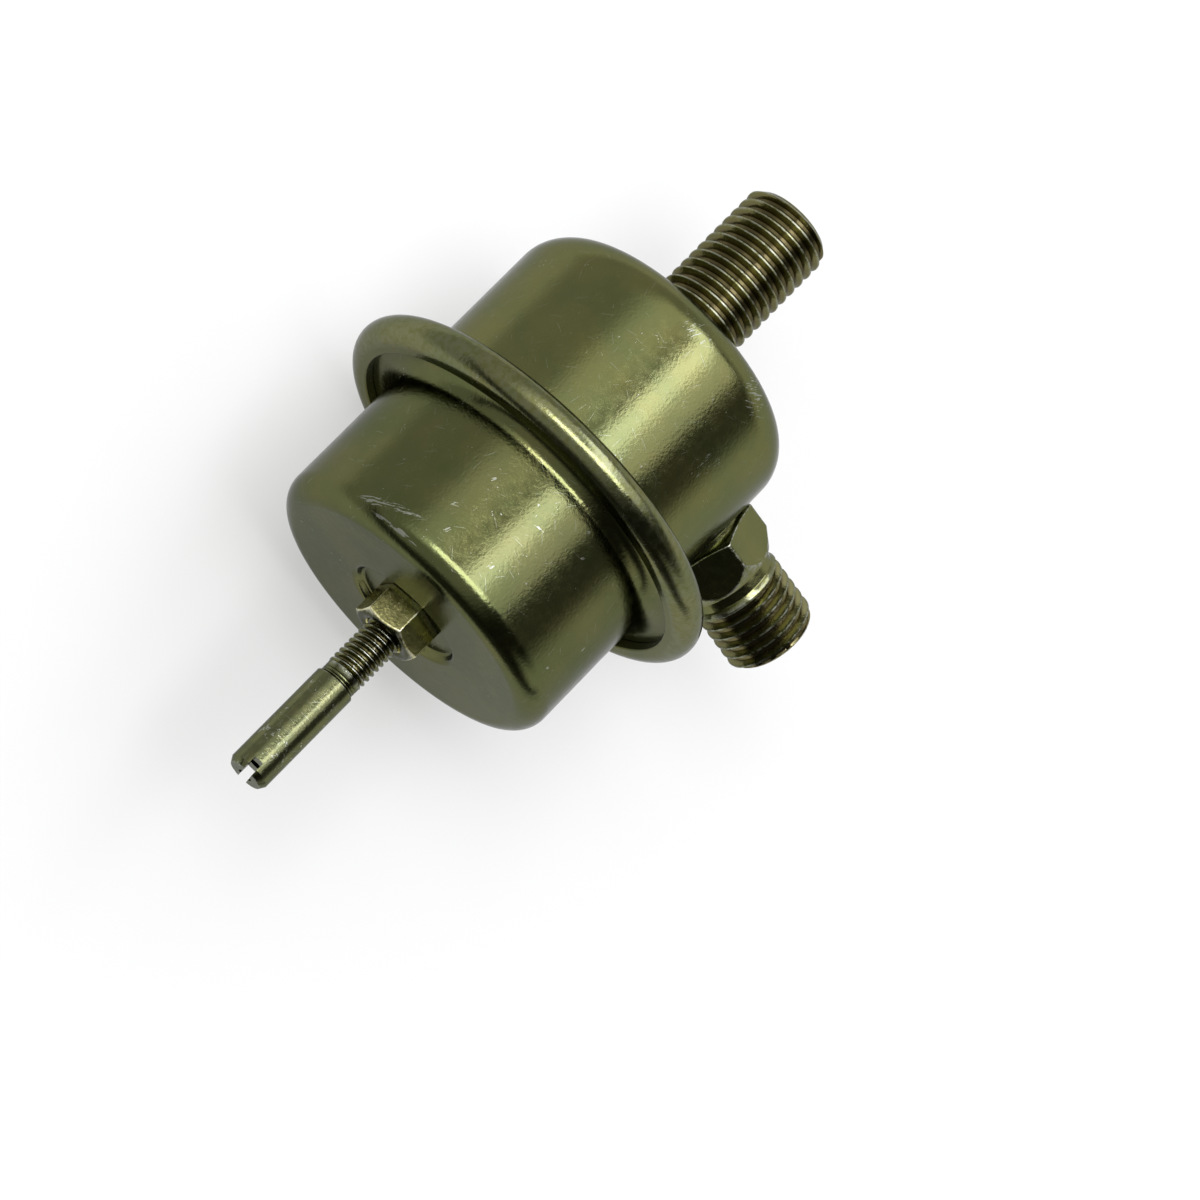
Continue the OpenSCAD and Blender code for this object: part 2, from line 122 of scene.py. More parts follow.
class Graph:
    """Short calls for adding nodes to a tree and linking them."""

    def __init__(self, tree: NodeTree) -> None:
        """Keep the tree that nodes are added to."""
        self.tree = tree

    @classmethod
    def fresh(cls, owner: bpy.types.ID) -> "Graph":
        """Empty a node tree and begin it anew.

        Args:
            owner: The material or the world that has the tree.

        Returns:
            A graph for its new nodes.
        """
        owner.use_nodes = True
        owner.node_tree.nodes.clear()
        return cls(owner.node_tree)

    def feed(self, socket: NodeSocket, value: Any) -> None:
        """Give a node's input a value.

        Args:
            socket: The input.
            value: A socket to link, a plain value to set, or None to leave the input as it is.
        """
        if isinstance(value, NodeSocket):
            self.tree.links.new(value, socket)
        elif value is not None:
            socket.default_value = value

    def add(self, kind: str, *values: Any, named: dict[str, Any] | None = None, **settings: Any) -> Node:
        """Add a node.

        Args:
            kind: The node's type name.
            values: What its inputs get, in their order.
            named: What its inputs get, by their names.
            settings: Properties of the node, set before its inputs.

        Returns:
            The new node.
        """
        node = self.tree.nodes.new(kind)
        for key, setting in settings.items():
            setattr(node, key, setting)
        for socket, value in zip(node.inputs, values):
            self.feed(socket, value)
        for label, value in (named or {}).items():
            self.feed(node.inputs[label], value)
        return node

    def math(self, operation: str, *values: Any, clamp: bool = False) -> NodeSocket:
        """Add a Math node and return its output."""
        return self.add("ShaderNodeMath", *values, operation=operation, use_clamp=clamp).outputs[0]

    def plus(self, *values: Any) -> NodeSocket:
        """Add two values."""
        return self.math("ADD", *values)

    def minus(self, *values: Any) -> NodeSocket:
        """Take the second value from the first."""
        return self.math("SUBTRACT", *values)

    def times(self, *values: Any) -> NodeSocket:
        """Multiply two values."""
        return self.math("MULTIPLY", *values)

    def vector(self, operation: str, *values: Any) -> NodeSocket:
        """Add a Vector Math node and return the output that its operation fills."""
        node = self.add("ShaderNodeVectorMath", *values, operation=operation)
        return node.outputs["Value" if operation in ("DOT_PRODUCT", "LENGTH") else "Vector"]

    def parts(self, vector: NodeSocket) -> Sequence[NodeSocket]:
        """Split a vector into its three parts."""
        return self.add("ShaderNodeSeparateXYZ", vector).outputs

    def group(self, tree: NodeTree, *values: Any) -> NodeSocket:
        """Place a shared shader group and return its one output."""
        return self.add("ShaderNodeGroup", *values, node_tree=tree).outputs[0]

    def attribute(self, name: str) -> NodeSocket:
        """Read a mesh attribute."""
        return self.add("ShaderNodeAttribute", attribute_name=name).outputs["Fac"]

    def ramp(self, value: Any, low: Any, high: Any, at_low: Any = 0.0, at_high: Any = 1.0,
             kind: str = "SMOOTHSTEP") -> NodeSocket:
        """Map the range from low to high of a value to another range, held at its ends."""
        node = self.add("ShaderNodeMapRange", value, low, high, at_low, at_high, interpolation_type=kind)
        return node.outputs[0]

    def blend(self, factor: Any, first: Any, second: Any) -> NodeSocket:
        """Mix two colours.

        Args:
            factor: The share of the second colour.
            first: A colour or a socket.
            second: A colour or a socket.

        Returns:
            The mixed colour.
        """
        node = self.add("ShaderNodeMix", data_type="RGBA")
        for index, value in ((0, factor), (6, first), (7, second)):
            self.feed(node.inputs[index], (*value, 1.0) if isinstance(value, tuple) else value)
        return node.outputs[2]

    def noise(self, vector: Any, scale: Any, detail: float = 2.0, roughness: float = 0.5) -> NodeSocket:
        """Add a noise texture and return its value, about 0.5 on average."""
        named = {"Vector": vector, "Scale": scale, "Detail": detail, "Roughness": roughness}
        return self.add("ShaderNodeTexNoise", named=named).outputs[0]

    def surface(self, height: NodeSocket | None, named: dict[str, Any]) -> None:
        """Close a material with a Principled shader.

        Args:
            height: The surface's relief in metres, or None where it is flat.
            named: What the shader's inputs get, by their names.
        """
        if height is not None:
            bump = self.add("ShaderNodeBump", named={"Strength": 1.0, "Distance": 1.0, "Height": height})
            named = {**named, "Normal": bump.outputs[0]}
        shader = self.add("ShaderNodeBsdfPrincipled", named=named)
        self.add("ShaderNodeOutputMaterial", shader.outputs[0])


class Effects:
    """Shader node groups that several finishes share. Each one gives only masks or heights."""

    DRIFT_SPAN = (0.32, 0.68)
    FINE_GRAIN = 2.7
    FINE_SHARE = 0.38
    LINE_ENDS = (0.55, 0.2)
    CHIP_GROUPING = 0.16
    CHIP_LEVEL = 0.9
    STREAK_ZONE = (1.0, 0.15)
    STREAK_STRETCH = 0.16
    STREAK_SCALE = 5200.0
    STREAK_LEVEL = 0.84
    SOFT_EDGE = 0.05

    def __init__(self) -> None:
        """Build every group once."""
        self.tone_drift = self._tone_drift()
        self.grain = self._grain()
        self.hairlines = self._hairlines()
        self.chips = self._chips()
        self.scuff = self._scuff()
        self.softbox = self._softbox()

    @staticmethod
    def _start(name: str, vectors: Sequence[str], values: Sequence[str],
               result: str) -> tuple[Graph, dict[str, NodeSocket]]:
        """Begin a shader group.

        Args:
            name: The group's name.
            vectors: Names of its vector inputs.
            values: Names of its plain inputs.
            result: Name of its one output.

        Returns:
            A graph for its nodes, and its inputs by name.
        """
        tree = bpy.data.node_groups.new(name, "ShaderNodeTree")
        sockets = ((vectors, "INPUT", "Vector"), (values, "INPUT", "Float"), ([result], "OUTPUT", "Float"))
        for labels, way, kind in sockets:
            for label in labels:
                tree.interface.new_socket(label, in_out=way, socket_type=f"NodeSocket{kind}")
        graph = Graph(tree)
        source = graph.add("NodeGroupInput")
        return graph, {label: source.outputs[label] for label in (*vectors, *values)}

    @staticmethod
    def _end(graph: Graph, result: NodeSocket) -> NodeTree:
        """Put out a group's result and give its tree."""
        graph.add("NodeGroupOutput", result)
        return graph.tree

    def _tone_drift(self) -> NodeTree:
        """Slow change of tone over a surface.

        Returns:
            A group that gives a mask from 0 to 1.
        """
        graph, got = self._start("tone_drift", ["Vector"], ["Scale"], "Mask")
        cloud = graph.noise(got["Vector"], got["Scale"], 3.0, 0.55)
        return self._end(graph, graph.ramp(cloud, *self.DRIFT_SPAN))

    def _grain(self) -> NodeTree:
        """Orange peel of a plated surface.

        Returns:
            A group that gives a height in metres.
        """
        graph, got = self._start("plating_grain", ["Vector"], ["Scale", "Depth"], "Height")
        coarse = graph.noise(got["Vector"], got["Scale"], 1.0)
        fine = graph.noise(got["Vector"], graph.times(got["Scale"], self.FINE_GRAIN), 1.0)
        both = graph.math("MULTIPLY_ADD", fine, self.FINE_SHARE, coarse)
        return self._end(graph, graph.times(both, got["Depth"]))

    def _hairlines(self) -> NodeTree:
        """Short straight scratches, at most one in each cell of a scattered pattern.

        Returns:
            A group that gives a mask from 0 to 1.
        """
        graph, got = self._start(
            "hairline_scratches", ["Vector", "Normal"], ["Scale", "Share", "Width"], "Mask")
        spread = graph.vector("SCALE", got["Vector"], None, None, got["Scale"])
        cell = graph.add("ShaderNodeTexVoronoi", named={"Vector": spread, "Scale": 1.0}).outputs
        off = graph.vector("SUBTRACT", spread, cell["Position"])
        wild = graph.vector("SUBTRACT", cell["Color"], (0.5, 0.5, 0.5))
        way = graph.vector("NORMALIZE", graph.vector("CROSS_PRODUCT", got["Normal"], wild))
        side = graph.vector("CROSS_PRODUCT", got["Normal"], way)
        across = graph.math("ABSOLUTE", graph.vector("DOT_PRODUCT", off, side))
        along = graph.math("ABSOLUTE", graph.vector("DOT_PRODUCT", off, way))
        thin = graph.ramp(across, got["Width"], 0.0)
        ends = graph.ramp(along, *self.LINE_ENDS)
        draw = graph.add("ShaderNodeTexWhiteNoise", cell["Position"]).outputs["Value"]
        kept = graph.math("LESS_THAN", draw, got["Share"])
        return self._end(graph, graph.times(graph.times(thin, ends), kept))

    def _chips(self) -> NodeTree:
        """Small worn spots.

        Returns:
            A group that gives a mask from 0 to 1.
        """
        graph, got = self._start("worn_chips", ["Vector"], ["Scale", "Share"], "Mask")
        spots = graph.noise(got["Vector"], got["Scale"], 3.0, 0.65)
        places = graph.noise(got["Vector"], graph.times(got["Scale"], self.CHIP_GROUPING), 1.0)
        level = graph.minus(self.CHIP_LEVEL, graph.times(places, got["Share"]))
        return self._end(graph, graph.ramp(graph.minus(spots, level), 0.0, self.SOFT_EDGE))

    def _scuff(self) -> NodeTree:
        """Streaks of worn plating at a set spot on a wall about the main axis.

        Returns:
            A group that gives a mask from 0 to 1.
        """
        values = ("Station", "Angle", "Radius", "Length", "Width", "Lean", "Density")
        graph, got = self._start("scuff_streaks", ["Vector"], values, "Mask")
        x, y, z = graph.parts(got["Vector"])
        turn = graph.minus(graph.math("ARCTAN2", z, y), got["Angle"])
        across = graph.times(graph.math("WRAP", turn, math.pi, -math.pi), got["Radius"])
        along = graph.minus(x, got["Station"])
        cosine, sine = graph.math("COSINE", got["Lean"]), graph.math("SINE", got["Lean"])
        length_wise = graph.math("MULTIPLY_ADD", along, cosine, graph.times(across, sine))
        width_wise = graph.minus(graph.times(across, cosine), graph.times(along, sine))
        u = graph.math("DIVIDE", length_wise, got["Length"])
        v = graph.math("DIVIDE", width_wise, got["Width"])
        far = graph.math("SQRT", graph.plus(graph.times(u, u), graph.times(v, v)))
        zone = graph.ramp(far, *self.STREAK_ZONE)
        stretched = graph.add(
            "ShaderNodeCombineXYZ", graph.times(length_wise, self.STREAK_STRETCH), width_wise,
            graph.times(got["Angle"], 0.01)).outputs[0]
        streak = graph.noise(stretched, self.STREAK_SCALE, 3.0, 0.62)
        level = graph.minus(self.STREAK_LEVEL, graph.times(zone, got["Density"]))
        return self._end(graph, graph.ramp(graph.minus(streak, level), 0.0, self.SOFT_EDGE))

    def _softbox(self) -> NodeTree:
        """A soft-edged rectangle seen in a direction.

        Returns:
            A group that gives a mask from 0 to 1.
        """
        graph, got = self._start(
            "softbox", ["Direction", "Aim", "Side", "Up"], ["Half width", "Half height", "Softness"], "Mask")
        depth = graph.vector("DOT_PRODUCT", got["Direction"], got["Aim"])
        sides: list[NodeSocket] = []
        for label, half in (("Side", "Half width"), ("Up", "Half height")):
            reach = graph.vector("DOT_PRODUCT", got["Direction"], got[label])
            off = graph.math("ABSOLUTE", graph.math("DIVIDE", reach, graph.math("MAXIMUM", depth, 0.001)))
            inner, outer = graph.minus(got[half], got["Softness"]), graph.plus(got[half], got["Softness"])
            sides.append(graph.ramp(off, outer, inner))
        return self._end(graph, graph.times(*sides))


@dataclass(frozen=True)
class WornPatch:
    """A scuffed place on a housing's wall: station, angle about the axis, length, width, lean and density."""

    station: float
    angle: float
    length: float
    width: float
    lean: float
    density: float


@dataclass(frozen=True)
class PlatedFinish:
    """Passivated zinc on steel: an olive to gold metal with orange peel, chips and scratches.

    Faces turned across the main axis take the colour named ends, where a finish has one: on the lock nut this
    dark colour is painted shade, a dark reflection painted on its end faces while its flats stay bright.
    """

    name: str
    olive: Colour
    gold: Colour
    bare: Colour = (0.4, 0.415, 0.375)
    # flank and root colour a thread by its depth; where root is darker than the plating, as by default and on
    # the stud, that darkening is partly the plating's brownish tint in the hollows and partly painted shade
    flank: Colour = (0.13, 0.13, 0.052)
    root: Colour = (0.074, 0.066, 0.028)
    edge_tint: Colour = (0.58, 0.585, 0.6)
    roughness: float = 0.17
    worn_roughness: float = 0.24
    worn_depth: float = 2.0e-6
    grain_scale: float = 2700.0
    grain_depth: float = 1.6e-5
    chip_scale: float = 1700.0
    chip_share: float = 0.36
    line_share: float = 0.16
    line_width: float = 0.022
    threaded: bool = False
    drift_scale: float = 120.0
    # ends: a colour painted on faces across the axis; on the nut it is painted shade standing in for a dark
    # reflection
    ends: Colour | None = None
    patches: tuple[WornPatch, ...] = ()
    patch_r: float = 0.0

    PAINTED_END_SHADE_SPAN = (0.7, 0.85)
    FLANK_TINT_AND_SHADE_SPAN = (0.03, 0.3)
    ROOT_TINT_AND_SHADE_SPAN = (0.5, 1.0)
    CLOUD_SCALE = 900.0
    CLOUD_SPAN = (0.3, 0.7)
    SPREAD = (-0.03, 0.05)
    NIBBLE_SCALE = 1400.0
    NIBBLE_SPAN = (0.35, 0.6)
    CHIP_STRENGTH = 0.5
    SCUFF_STRENGTH = 0.62
    LINE_STRENGTH = 0.32
    LINE_LAYERS = ((520.0, 1.0), (1050.0, 0.7))

    def material(self, effects: Effects) -> Material:
        """Build the material.

        Args:
            effects: The shared shader groups.

        Returns:
            The material, laid out on Object coordinates and two mesh attributes.
        """
        made = bpy.data.materials.new(self.name)
        graph = Graph.fresh(made)
        spot = graph.add("ShaderNodeTexCoord").outputs
        place, normal = spot["Object"], spot["Normal"]
        colour = graph.blend(graph.group(effects.tone_drift, place, self.drift_scale), self.olive, self.gold)
        # Painted shade: faces turned across the main axis get the dark ends colour, in place of the dark
        # reflection they would show
        if self.ends:
            facing = graph.math("ABSOLUTE", graph.parts(normal)[0])
            colour = graph.blend(graph.ramp(facing, *self.PAINTED_END_SHADE_SPAN), colour, self.ends)
        # Thread colour by depth: the darker root colour is partly the plating's brownish tint and partly
        # painted shade in the thread's valleys
        if self.threaded:
            depth = graph.attribute("thread_depth")
            colour = graph.blend(graph.ramp(depth, *self.FLANK_TINT_AND_SHADE_SPAN), colour, self.flank)
            colour = graph.blend(graph.ramp(depth, *self.ROOT_TINT_AND_SHADE_SPAN), colour, self.root)
        worn = self._worn(graph, effects, place, normal)
        cloud = graph.noise(place, self.CLOUD_SCALE, 3.0, 0.6)
        rough = graph.ramp(cloud, *self.CLOUD_SPAN, *(self.roughness + spread for spread in self.SPREAD))
        grain = graph.group(effects.grain, place, self.grain_scale, self.grain_depth)
        graph.surface(graph.math("MULTIPLY_ADD", worn, -self.worn_depth, grain), {
            "Base Color": graph.blend(worn, colour, self.bare),
            "Metallic": 1.0,
            "Roughness": graph.math("MULTIPLY_ADD", worn, self.worn_roughness, rough),
            "Specular Tint": (*self.edge_tint, 1.0),
        })
        return made

    def _worn(self, graph: Graph, effects: Effects, place: NodeSocket, normal: NodeSocket) -> NodeSocket:
        """Gather chips, scratches, edges and set scuffs into one mask.

        Args:
            graph: The material's graph.
            effects: The shared shader groups.
            place: Object coordinates.
            normal: The surface's normal in the same frame.

        Returns:
            The mask, from 0 for whole plating to 1 for bare metal.
        """
        chips = graph.group(effects.chips, place, self.chip_scale, self.chip_share)
        marks = [(chips, self.CHIP_STRENGTH)]
        for patch in self.patches:
            streaks = graph.group(
                effects.scuff, place, patch.station * MM, math.radians(patch.angle), self.patch_r * MM,
                patch.length * MM, patch.width * MM, math.radians(patch.lean), patch.density)
            marks.append((streaks, self.SCUFF_STRENGTH))
        for scale, part in self.LINE_LAYERS:
            share = part * self.line_share
            lines = graph.group(effects.hairlines, place, normal, scale, share, self.line_width)
            marks.append((lines, self.LINE_STRENGTH))
        nibbled = graph.ramp(graph.noise(place, self.NIBBLE_SCALE, 3.0, 0.6), *self.NIBBLE_SPAN)
        worn = graph.times(graph.attribute("edge_wear"), nibbled)
        for mask, strength in marks:
            worn = graph.math("MAXIMUM", worn, graph.times(mask, strength))
        return worn


@dataclass(frozen=True)
class InnerFinish:
    """A finish of the pieces inside: two tones, a roughness and a fine relief."""

    name: str
    first: Colour
    second: Colour
    metallic: float
    roughness: float
    grain_scale: float
    grain_depth: float
    drift_scale: float = 300.0

    SPREAD = (-0.04, 0.06)

    def material(self, effects: Effects) -> Material:
        """Build the material.

        Args:
            effects: The shared shader groups.

        Returns:
            The material, laid out on Object coordinates.
        """
        made = bpy.data.materials.new(self.name)
        graph = Graph.fresh(made)
        place = graph.add("ShaderNodeTexCoord").outputs["Object"]
        drift = graph.group(effects.tone_drift, place, self.drift_scale)
        rough = graph.ramp(drift, 0.0, 1.0, *(self.roughness + spread for spread in self.SPREAD))
        graph.surface(graph.group(effects.grain, place, self.grain_scale, self.grain_depth), {
            "Base Color": graph.blend(drift, self.first, self.second),
            "Metallic": self.metallic,
            "Roughness": rough,
        })
        return made


@dataclass(frozen=True)
class Layout:
    """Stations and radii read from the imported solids."""

    rim_x1: float
    rim_r: float
    end_x: float
    tip_x: float
    nose_x: float
    nipple_r: float
    stud_x: float
    stud_head_x: float
    inlet_x: float
    inlet_inner_y: float
    inlet_tip_y: float
    nut_x0: float
    nut_x1: float

    @classmethod
    def read(cls) -> "Layout":
        """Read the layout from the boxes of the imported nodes.

        Returns:
            The layout, in millimetres.
        """
        fuel, spring, screw, stud, inlet, nut = (
            [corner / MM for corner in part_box(node)]
            for node in ("fuel_housing", "spring_housing", "adjusting_screw", "return_stud", "inlet_fitting",
                         "lock_nut"))
        return cls(
            rim_x1=fuel[1].x, rim_r=fuel[1].z, end_x=spring[1].x,
            tip_x=screw[1].x, nose_x=screw[0].x, nipple_r=screw[1].z,
            stud_x=stud[0].x, stud_head_x=stud[1].x,
            inlet_x=(inlet[0].x + inlet[1].x) / 2, inlet_inner_y=inlet[0].y, inlet_tip_y=inlet[1].y,
            nut_x0=nut[0].x, nut_x1=nut[1].x)

    def matrix(self, spindle: Spindle) -> Matrix:
        """Give the move from the local X axis to a spindle.

        Args:
            spindle: The line that a piece is turned about.

        Returns:
            The move, in metres.
        """
        if spindle is Spindle.MAIN:
            return Matrix.Identity(4)
        return Matrix(((0, 0, 1, self.inlet_x * MM), (1, 0, 0, 0), (0, 1, 0, 0), (0, 0, 0, 1)))


@dataclass(frozen=True)
class Corner:
    """A corner of a turned outline: radius, station, fillet radius and edge wear."""

    r: float
    x: float
    fillet: float = 0.0
    worn: float = 0.0

    def point(self) -> Vector:
        """Give the corner as a vector of radius and station."""
        return Vector((self.r, self.x))


class Outline:
    """A turned outline made of straight stretches and fillets."""

    ARC_STEP = math.radians(4.0)
    SUPPORT = 0.12

    def __init__(self, *corners: Corner, closed: bool = False) -> None:
        """Keep the corners, and whether the last one joins the first."""
        self.corners = corners
        self.closed = closed

    def rows(self) -> Rows:
        """Give the outline's points.

        Returns:
            Radius, station and edge wear of each point, with supports where long stretches begin and end.
        """
        count = len(self.corners)
        bends = [self._bend(index) for index in range(count)]
        rows: Rows = []
        for index, bend in enumerate(bends):
            rows += bend
            if index + 1 < count or self.closed:
                rows += self._supports(bend[-1], bends[(index + 1) % count][0])
        return rows

    def _bend(self, index: int) -> Rows:
        """Give the points of one corner.

        Args:
            index: The corner's place in the outline.

        Returns:
            One point where it is sharp, or the points of its fillet.
        """
        corner = self.corners[index]
        count = len(self.corners)
        at_end = not self.closed and index in (0, count - 1)
        if corner.fillet <= 0.0 or at_end:
            return [(corner.r, corner.x, corner.worn)]
        here = corner.point()
        back = (self.corners[index - 1].point() - here).normalized()
        ahead = (self.corners[(index + 1) % count].point() - here).normalized()
        half = back.angle(ahead) / 2
        centre = here + (back + ahead).normalized() * (corner.fillet / math.sin(half))
        reach = corner.fillet / math.tan(half)
        first, last = here + back * reach - centre, here + ahead * reach - centre
        sweep = math.atan2(first.x * last.y - first.y * last.x, first.dot(last))
        steps = max(3, math.ceil(abs(sweep) / self.ARC_STEP))
        rows: Rows = []
        for step in range(steps + 1):
            turn = sweep * step / steps
            cosine, sine = math.cos(turn), math.sin(turn)
            r = centre.x + first.x * cosine - first.y * sine
            x = centre.y + first.x * sine + first.y * cosine
            rows.append((r, x, corner.worn))
        return rows

    def _supports(self, start: Row, end: Row) -> Rows:
        """Give the two points that keep a long stretch's shading straight.

        Args:
            start: Its first point.
            end: Its last point.

        Returns:
            Two points, or none where the stretch is short.
        """
        length = math.hypot(end[0] - start[0], end[1] - start[1])
        if length < 6 * self.SUPPORT:
            return []
        share = self.SUPPORT / length
        return [(start[0] + (end[0] - start[0]) * t, start[1] + (end[1] - start[1]) * t, 0.0)
                for t in (share, 1.0 - share)]


@dataclass(frozen=True)
class Thread:
    """A right-hand thread between two rings of a turned blank. The tree's lengths have its fields' names."""

    pitch: float
    major_radius: float
    start: float
    end: float
    start_radius: float
    end_radius: float
    start_chamfer: float
    end_chamfer: float
    start_fade: float
    end_fade: float
    depth_share: float = 0.46

    @property
    def depth(self) -> float:
        """Give the depth of the thread."""
        return self.depth_share * self.pitch

    def turns(self) -> int:
        """Give the turns of the grid, one more than the thread needs."""
        return math.ceil((self.end - self.start) / self.pitch) + 1


class ThreadWinder:
    """The node tree that winds a thread and joins it to a turned blank."""

    ROWS = 16
    CREST = 0.875
    FLOOR = 0.25
    CREST_WEAR = 0.6
    WORN_SPAN = (0.2, 0.0)
    MERGE = 1.0e-6
    LENGTHS = ("Start", "End", "Pitch", "Major radius", "Depth", "Start radius", "End radius",
               "Start chamfer", "End chamfer", "Start fade", "End fade")

    def __init__(self) -> None:
        """Build the tree."""
        self.tree = bpy.data.node_groups.new("helical_thread", "GeometryNodeTree")
        self.sockets: dict[str, str] = {}
        kinds = {"Geometry": "Geometry", "Turns": "Int", "Rows": "Int", "Columns": "Int"}
        kinds |= {label: "Float" for label in ("First angle", *self.LENGTHS)}
        kinds["Material"] = "Material"
        for label, kind in kinds.items():
            made = self.tree.interface.new_socket(label, in_out="INPUT", socket_type=f"NodeSocket{kind}")
            self.sockets[label] = made.identifier
        self.tree.interface.new_socket("Geometry", in_out="OUTPUT", socket_type="NodeSocketGeometry")
        self._nodes(Graph(self.tree))

    def _nodes(self, graph: Graph) -> None:
        """Add the nodes: a flat grid whose rows follow the helix is rolled up, shaped and joined.

        Args:
            graph: The tree's graph.
        """
        got = graph.add("NodeGroupInput").outputs
        along, around = graph.plus(got["Rows"], 1.0), graph.plus(got["Columns"], 1.0)
        grid = graph.add("GeometryNodeMeshGrid", 1.0, 1.0, along, around)
        place = graph.parts(graph.add("GeometryNodeInputPosition").outputs[0])
        share, round_share = graph.plus(place[0], 0.5), graph.plus(place[1], 0.5)
        turn = graph.minus(graph.times(share, got["Turns"]), 1.0)
        wound = graph.times(graph.plus(turn, round_share), got["Pitch"])
        station = graph.math("MAXIMUM", graph.plus(got["Start"], wound), got["Start"])
        station = graph.math("MINIMUM", station, got["End"])
        wave = graph.math("ABSOLUTE", graph.math("MULTIPLY_ADD", graph.math("FRACT", turn), 2.0, -1.0))
        hollow = graph.ramp(wave, self.CREST, self.FLOOR, kind="LINEAR")
        fades: list[NodeSocket] = []
        cones: list[NodeSocket] = []
        for end, inwards in (("Start", graph.plus), ("End", graph.minus)):
            faded = inwards(got[end], got[f"{end} fade"])
            fades.append(graph.ramp(station, got[end], faded, kind="LINEAR"))
            full = inwards(got[end], got[f"{end} chamfer"])
            cones.append(
                graph.ramp(station, got[end], full, got[f"{end} radius"], got["Major radius"], kind="LINEAR"))
        hollow = graph.times(hollow, graph.math("MINIMUM", *fades))
        flank = graph.minus(got["Major radius"], graph.times(hollow, got["Depth"]))
        radius = graph.math("MINIMUM", flank, graph.math("MINIMUM", *cones))
        angle = graph.math("MULTIPLY_ADD", round_share, 2 * math.pi, got["First angle"])
        y = graph.times(radius, graph.math("COSINE", angle))
        z = graph.times(radius, graph.math("SINE", angle))
        spot = graph.add("ShaderNodeCombineXYZ", station, y, z).outputs[0]
        rubbed = graph.ramp(hollow, *self.WORN_SPAN, 0.0, self.CREST_WEAR, kind="LINEAR")
        made = grid.outputs[0]
        for name, value in (("thread_depth", hollow), ("edge_wear", rubbed)):
            made = graph.add(
                "GeometryNodeStoreNamedAttribute", made, named={"Name": name, "Value": value},
                data_type="FLOAT", domain="POINT").outputs[0]
        made = graph.add("GeometryNodeSetPosition", made, named={"Position": spot}).outputs[0]
        joined = graph.add("GeometryNodeJoinGeometry", got["Geometry"])
        graph.feed(joined.inputs[0], made)
        merged = graph.add("GeometryNodeMergeByDistance", joined.outputs[0], named={"Distance": self.MERGE})
        real = graph.add("GeometryNodeRealizeInstances", merged.outputs[0])
        dressed = graph.add("GeometryNodeSetMaterial", real.outputs[0], named={"Material": got["Material"]})
        graph.add("NodeGroupOutput", dressed.outputs[0])

    def wind(self, blank: Mesh, thread: Thread, columns: int, first_angle: float, material: Material) -> Mesh:
        """Wind a thread onto a blank.

        Args:
            blank: The turned blank, open between the thread's two rings.
            thread: The thread.
            columns: The blank's number of columns.
            first_angle: The angle of its first column.
            material: The material of the whole piece.

        Returns:
            The mesh of blank and thread together.
        """
        values: dict[str, Any] = {
            label: getattr(thread, label.lower().replace(" ", "_")) * MM for label in self.LENGTHS}
        values |= {"Turns": thread.turns(), "Rows": thread.turns() * self.ROWS, "Columns": columns,
                   "First angle": first_angle, "Material": material}
        carrier = linked("thread_carrier", blank)
        modifier = carrier.modifiers.new("thread", "NODES")
        modifier.node_group = self.tree
        for label, value in values.items():
            modifier[self.sockets[label]] = value
        return settle(carrier, blank.name)


def linked(name: str, data: bpy.types.ID) -> Object:
    """Make an object and link it to the scene.

    Args:
        name: Its name.
        data: Its mesh or camera.

    Returns:
        The object.
    """
    made = bpy.data.objects.new(name, data)
    bpy.context.scene.collection.objects.link(made)
    return made


def moved(x: float, y: float = 0.0) -> Matrix:
    """Give a move in millimetres as a matrix in metres."""
    return Matrix.Translation(Vector((x, y, 0.0)) * MM)


def settle(carrier: Object, name: str) -> Mesh:
    """Turn an object's evaluated mesh into a plain one and remove the object.

    Args:
        carrier: An object with modifiers.
        name: The name of the new mesh.

    Returns:
        The new mesh.
    """
    graph = bpy.context.evaluated_depsgraph_get()
    made = bpy.data.meshes.new_from_object(
        carrier.evaluated_get(graph), preserve_all_data_layers=True, depsgraph=graph)
    made.name = name
    carrier.modifiers.clear()
    bpy.data.objects.remove(carrier)
    return made


def pour(work: bmesh.types.BMesh, mesh: Mesh) -> Mesh:
    """Write worked geometry into a mesh and let go of it.

    Args:
        work: The worked geometry.
        mesh: The mesh that takes it.

    Returns:
        The same mesh.
    """
    work.to_mesh(mesh)
    work.free()
    return mesh


def tidy_mesh(mesh: Mesh, sharp: float = 50.0) -> None:
    """Merge doubled points, turn all faces outwards and mark the sharp edges.

    Args:
        mesh: The mesh.
        sharp: The angle, in degrees, from which an edge is sharp.
    """
    work = bmesh.new()
    work.from_mesh(mesh)
    bmesh.ops.remove_doubles(work, verts=work.verts, dist=WELD)
    bmesh.ops.recalc_face_normals(work, faces=work.faces)
    open_edges = sum(1 for edge in work.edges if not edge.is_manifold)
    if open_edges:
        LOG.warning("%s has %d open edges", mesh.name, open_edges)
    pour(work, mesh)
    mesh.shade_smooth()
    mesh.set_sharp_from_angle(angle=math.radians(sharp))


def cut(mesh: Mesh, cutters: Sequence[Mesh]) -> Mesh:
    """Cut solids out of a mesh.

    Args:
        mesh: A closed mesh.
        cutters: Closed meshes that are taken away from it.

    Returns:
        The cut mesh.
    """
    carrier = linked("cut_carrier", mesh)
    tools = [linked("cutter", cutter) for cutter in cutters]
    for tool in tools:
        modifier = carrier.modifiers.new("cut", "BOOLEAN")
        modifier.operation = "DIFFERENCE"
        modifier.solver = "EXACT"
        modifier.object = tool
    made = settle(carrier, mesh.name)
    for tool in tools:
        bpy.data.objects.remove(tool)
    return made


